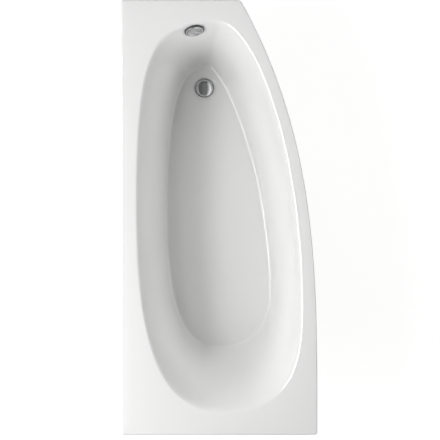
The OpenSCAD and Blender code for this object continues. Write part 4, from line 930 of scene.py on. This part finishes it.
def soften(made, width, segments=3, angle=30.0):
    """Bevels the edges that are sharper than the angle."""
    bevel = made.modifiers.new("soft_edges", "BEVEL")
    bevel.width = width
    bevel.segments = segments
    bevel.limit_method = "ANGLE"
    bevel.angle_limit = math.radians(angle)
    bevel.harden_normals = True


def arc(radius, height, start, end, steps, middle):
    """Points of an ellipse's arc as (radius, height), between two angles in degrees."""
    angles = (math.radians(mix(start, end, i / steps)) for i in range(steps + 1))
    return [(middle[0] + radius * math.cos(a), middle[1] + height * math.sin(a)) for a in angles]


def tube(bore, radius, low, high):
    """The closed profile of a plain tube."""
    return [(bore, low), (radius, low), (radius, high), (bore, high), (bore, low)]


# %% Plug
CAP_R, CAP_Z, CAP_EDGE, CAP_DOME, CAP_LIP, CAP_HOLLOW = 30.5, 160.0, 0.9, 5.5, 1.5, 0.6
cap_profile = [(0, CAP_Z + CAP_HOLLOW), (CAP_R - CAP_LIP, CAP_Z + CAP_HOLLOW), (CAP_R - CAP_LIP, CAP_Z),
               (CAP_R, CAP_Z)]
cap_profile += arc(CAP_R, CAP_DOME, 0, 90, 24, (0, CAP_Z + CAP_EDGE))
at_waste = Matrix.Translation((*WASTE, 0))
plug = piece("plug_cap", turned(cap_profile), chrome, "pop_up_plug", transform=at_waste)
soften(plug, 0.3 * MM)

# %% Flange under the plug
FLANGE_Z, FLANGE_R, SEAT_Z, STEP_R, NECK_Z = 158.5, 35.5, 159.7, 31.2, 132.5
NECK_R, NECK_BORE, HUB_R, HUB_BORE, HUB_Z, HUB_H, ARM_W = 22.0, 19.5, 6.5, 3.05, 136.5, 12.0, 2.0
flange_profile = [(NECK_BORE, NECK_Z), (NECK_R, NECK_Z), (NECK_R, FLANGE_Z), (FLANGE_R - 0.6, FLANGE_Z)]
flange_profile += arc(0.6, 0.6, -90, 0, 4, (FLANGE_R - 0.6, FLANGE_Z + 0.6))
flange_profile += arc(1.6, 1.3, 0, 90, 8, (FLANGE_R - 1.6, FLANGE_Z + 1.2))
flange_profile += [(STEP_R + 0.6, FLANGE_Z + 2.5), (STEP_R, FLANGE_Z + 1.9), (STEP_R, SEAT_Z)]
flange_profile += arc(1.0, 1.0, 90, 180, 4, (NECK_BORE + 1, SEAT_Z - 1))
bm = turned(flange_profile + flange_profile[:1])
turned(tube(HUB_BORE, HUB_R, HUB_Z, HUB_Z + HUB_H), steps=48, bm=bm)
for turn in (60, 180, 300):
    block(bm, (NECK_BORE - HUB_R + 1, ARM_W, HUB_H),
          moved((NECK_BORE + HUB_R) / 2, 0, HUB_Z + HUB_H / 2, turn))
flange = piece("flange_ring", bm, chrome, "waste_flange", transform=at_waste)
soften(flange, 0.25 * MM)

# %% Rosette of the overflow
ROSETTE_R, ROSETTE_BACK, ROSETTE_H, KNOB_R, KNOB_BACK = 35.5, 2.3, 9.0, 25.0, 5.6
SLEEVE_R, SLEEVE_BORE, SLEEVE_BACK, SLEEVE_FRONT = 8.0, 4.05, -12.9, 5.3
# Painted shade: the black band round the chrome is partly a rubber gasket and partly stands in for the
# dark reflection and the shadow at the rosette's edge.
SHADE_BAND_IN, SHADE_BAND_H = 3.2, 8.0  # the black band round the chrome: its width, and its height over the wall
HOLLOW_R, HOLLOW_BACK, HOLLOW_WALL_R = KNOB_R + 0.6, KNOB_BACK - 0.8, KNOB_R + 2.2  # holds the knob
ARM_X, ARM_SIZE = 17.0, (20.0, 5.0, 3.0)
SLOT_SIZE, SLOT_Z = (8.0, 10.0, 3.4), ROSETTE_BACK + 0.7
rosette_profile = [(ROSETTE_R - 2, ROSETTE_BACK), (ROSETTE_R, ROSETTE_BACK)]
rosette_profile += arc(1.0, 1.0, 0, 90, 3, (ROSETTE_R - 1, SHADE_BAND_H - 1))
rosette_profile += [(ROSETTE_R - SHADE_BAND_IN, SHADE_BAND_H)]
rosette_profile += arc(1.6, ROSETTE_H + 0.4 - SHADE_BAND_H, 0, 90, 5, (ROSETTE_R - SHADE_BAND_IN - 1.6, SHADE_BAND_H))
rosette_profile += [(HOLLOW_WALL_R, ROSETTE_H), (HOLLOW_R, ROSETTE_H - 1.2), (HOLLOW_R, HOLLOW_BACK)]
rosette_profile += [(HOLLOW_WALL_R, HOLLOW_BACK), (HOLLOW_WALL_R, ROSETTE_H - 2.6)]
rosette_profile += [(ROSETTE_R - 5.2, ROSETTE_H - 2.6), (ROSETTE_R - 2.4, ROSETTE_H - 4.6)]
rosette_profile += [(ROSETTE_R - 2, ROSETTE_BACK)]
bm = turned(rosette_profile)
turned(tube(SLEEVE_BORE, SLEEVE_R, SLEEVE_BACK, SLEEVE_FRONT), steps=48, bm=bm)
for turn in (0, 120, 240):
    block(bm, ARM_SIZE, moved(ARM_X, 0, ROSETTE_BACK + ARM_SIZE[2] / 2, turn))
rosette = piece("rosette_ring", bm, chrome, "overflow_rosette", transform=at_overflow)
drill = bmesh.new()
for turn in (156, 180, 204):
    block(drill, SLOT_SIZE, at_overflow @ moved(ROSETTE_R - 1, 0, SLOT_Z, turn))
cut_away(rosette, drill)
# The band takes black rubber. It is a gasket in part and painted shade in part, for the dark reflection
# and the shadow round the rosette's edge.
rosette.data.materials.append(rubber)
to_overflow = at_overflow.inverted()
for face in rosette.data.polygons:
    place = to_overflow @ face.center
    if place.xy.length > (ROSETTE_R - SHADE_BAND_IN) * MM and place.z < (SHADE_BAND_H + 0.1) * MM:
        face.material_index = 1
soften(rosette, 0.2 * MM)

# %% Control knob
KNOB_T, FACE_DIP, GRIP_W, GRIP_H, GRIP_ROOT, SHUT_TURN = 3.5, 0.25, 9.0, 3.5, 0.5, 45.0
KNOB_FRONT, GRIP_L, GRIP_END_R = KNOB_BACK + KNOB_T, 2 * KNOB_R - 6, 4.4
knob_profile = [(0, KNOB_BACK), (KNOB_R - 1, KNOB_BACK), (KNOB_R, KNOB_BACK + 1)]
knob_profile += arc(1.5, 1.5, 0, 90, 6, (KNOB_R - 1.5, KNOB_FRONT - 1.5))
knob_profile += [(KNOB_R - 3, KNOB_FRONT - FACE_DIP), (0, KNOB_FRONT - FACE_DIP)]
bm = turned(knob_profile)
grip = block(bm, (GRIP_L, GRIP_W, GRIP_H + GRIP_ROOT),
             moved(0, 0, KNOB_FRONT + (GRIP_H - GRIP_ROOT) / 2, SHUT_TURN))
upright = [e for v in grip for e in v.link_edges if abs(e.verts[0].co.z - e.verts[1].co.z) > MM]
bmesh.ops.bevel(bm, geom=list(set(upright)), offset=GRIP_END_R * MM, segments=8, affect="EDGES",
                profile=0.5)
knob = piece("knob_with_grip", bm, chrome, "control_knob", transform=at_overflow)
soften(knob, 0.9 * MM, segments=4, angle=50.0)

# %% [markdown]
# ## Threaded studs
#
# Each foot is a length of threaded rod in a pad. The flank of one thread is spun while it climbs, turn
# on turn, and the rod is cut flat at both ends.

# %% Studs
STUD_R, PITCH, THREAD, STUD_SIDES = 5.0, 1.5, 0.75, 14


def threaded_rod(length):
    """A rod of that many millimetres, with one thread climbing round it."""
    turns = math.ceil(length / PITCH) + 2
    bm = bmesh.new()
    verts = [bm.verts.new(Vector((r, 0, z - 1.5 * PITCH)) * MM)
             for r, z in ((STUD_R - THREAD, 0), (STUD_R, PITCH / 2), (STUD_R - THREAD, PITCH))]
    edges = [bm.edges.new(pair) for pair in zip(verts, verts[1:])]
    bmesh.ops.spin(bm, geom=verts + edges, cent=(0, 0, 0), axis=(0, 0, 1), angle=2 * math.pi * turns,
                   steps=STUD_SIDES * turns, dvec=(0, 0, PITCH * MM / STUD_SIDES))
    bmesh.ops.remove_doubles(bm, verts=bm.verts, dist=WELD)
    for height, way in ((0, -1), (length * MM, 1)):
        geom = bm.verts[:] + bm.edges[:] + bm.faces[:]
        bmesh.ops.bisect_plane(bm, geom=geom, plane_co=(0, 0, height), plane_no=(0, 0, way),
                               clear_outer=True)
    bmesh.ops.holes_fill(bm, edges=[e for e in bm.edges if e.is_boundary], sides=0)
    bmesh.ops.recalc_face_normals(bm, faces=bm.faces)
    return bm


for place in ("tap_back", "tap_front", "foot_back", "foot_front", "centre"):
    low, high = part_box("foot_stud_" + place)
    stand = Matrix.Translation(((low.x + high.x) / 2, (low.y + high.y) / 2, low.z))
    piece("threaded_stud_" + place, threaded_rod((high.z - low.z) / MM), zinc, "foot_stud_" + place,
          transform=stand)

# %% [markdown]
# ## Softer edges on the model's own parts
#
# Cast, pressed and sawn parts have no razor edges. One geometry-nodes modifier joins the facets of the
# model and shades them smooth wherever they meet at a shallow angle. A bevel then rounds what is still
# sharp. The meshes themselves stay as they are.

# %% Joined facets
FACET_WELD = 1e-5


def joined_facets(angle):
    """A modifier's tree that welds the facets and keeps only edges above the angle sharp."""
    tree = bpy.data.node_groups.new("joined_facets", "GeometryNodeTree")
    tree.interface.new_socket("Geometry", in_out="INPUT", socket_type="NodeSocketGeometry")
    tree.interface.new_socket("Geometry", in_out="OUTPUT", socket_type="NodeSocketGeometry")
    plain = linked(tree, "GeometryNodeRemoveAttribute", Name="custom_normal")
    tree.links.new(tree.nodes.new("NodeGroupInput").outputs[0], plain.inputs["Geometry"])
    merged = linked(tree, "GeometryNodeMergeByDistance", Geometry=plain.outputs[0], Distance=FACET_WELD)
    smooth = linked(tree, "GeometryNodeSetShadeSmooth", Geometry=merged.outputs[0])
    steep = tree.nodes.new("FunctionNodeCompare")
    steep.operation = "GREATER_THAN"
    edge_angle = tree.nodes.new("GeometryNodeInputMeshEdgeAngle").outputs["Unsigned Angle"]
    feed(tree, steep.inputs[0], edge_angle)
    feed(tree, steep.inputs[1], math.radians(angle))
    sharp = linked(tree, "GeometryNodeSetShadeSmooth", Geometry=smooth.outputs[0],
                   Selection=steep.outputs[0], Shade_Smooth=False)
    sharp.domain = "EDGE"
    tree.links.new(sharp.outputs[0], tree.nodes.new("NodeGroupOutput").inputs[0])
    return tree


facets = joined_facets(30.0)
EDGE_WIDTHS = {  # in millimetres, for each finish
    "timber": 1.5, "board": 0.8, "galvanised": 0.4, "zinc_screws": 0.4, "pad_plastic": 0.8, "steel": 0.3,
    "rubber": 0.3, "white_plastic": 0.5, "rocker_plastic": 0.4, "chrome": 0.3, "cable_sheath": 0.2,
}
softened = 0
for name, node in frame["nodes"].items():
    if name in remade:
        continue
    node.modifiers.new("joined_facets", "NODES").node_group = facets
    soften(node, EDGE_WIDTHS[node_slot[name]] * MM, segments=2, angle=35.0)
    softened += 1
print(softened, "parts of the model softened")
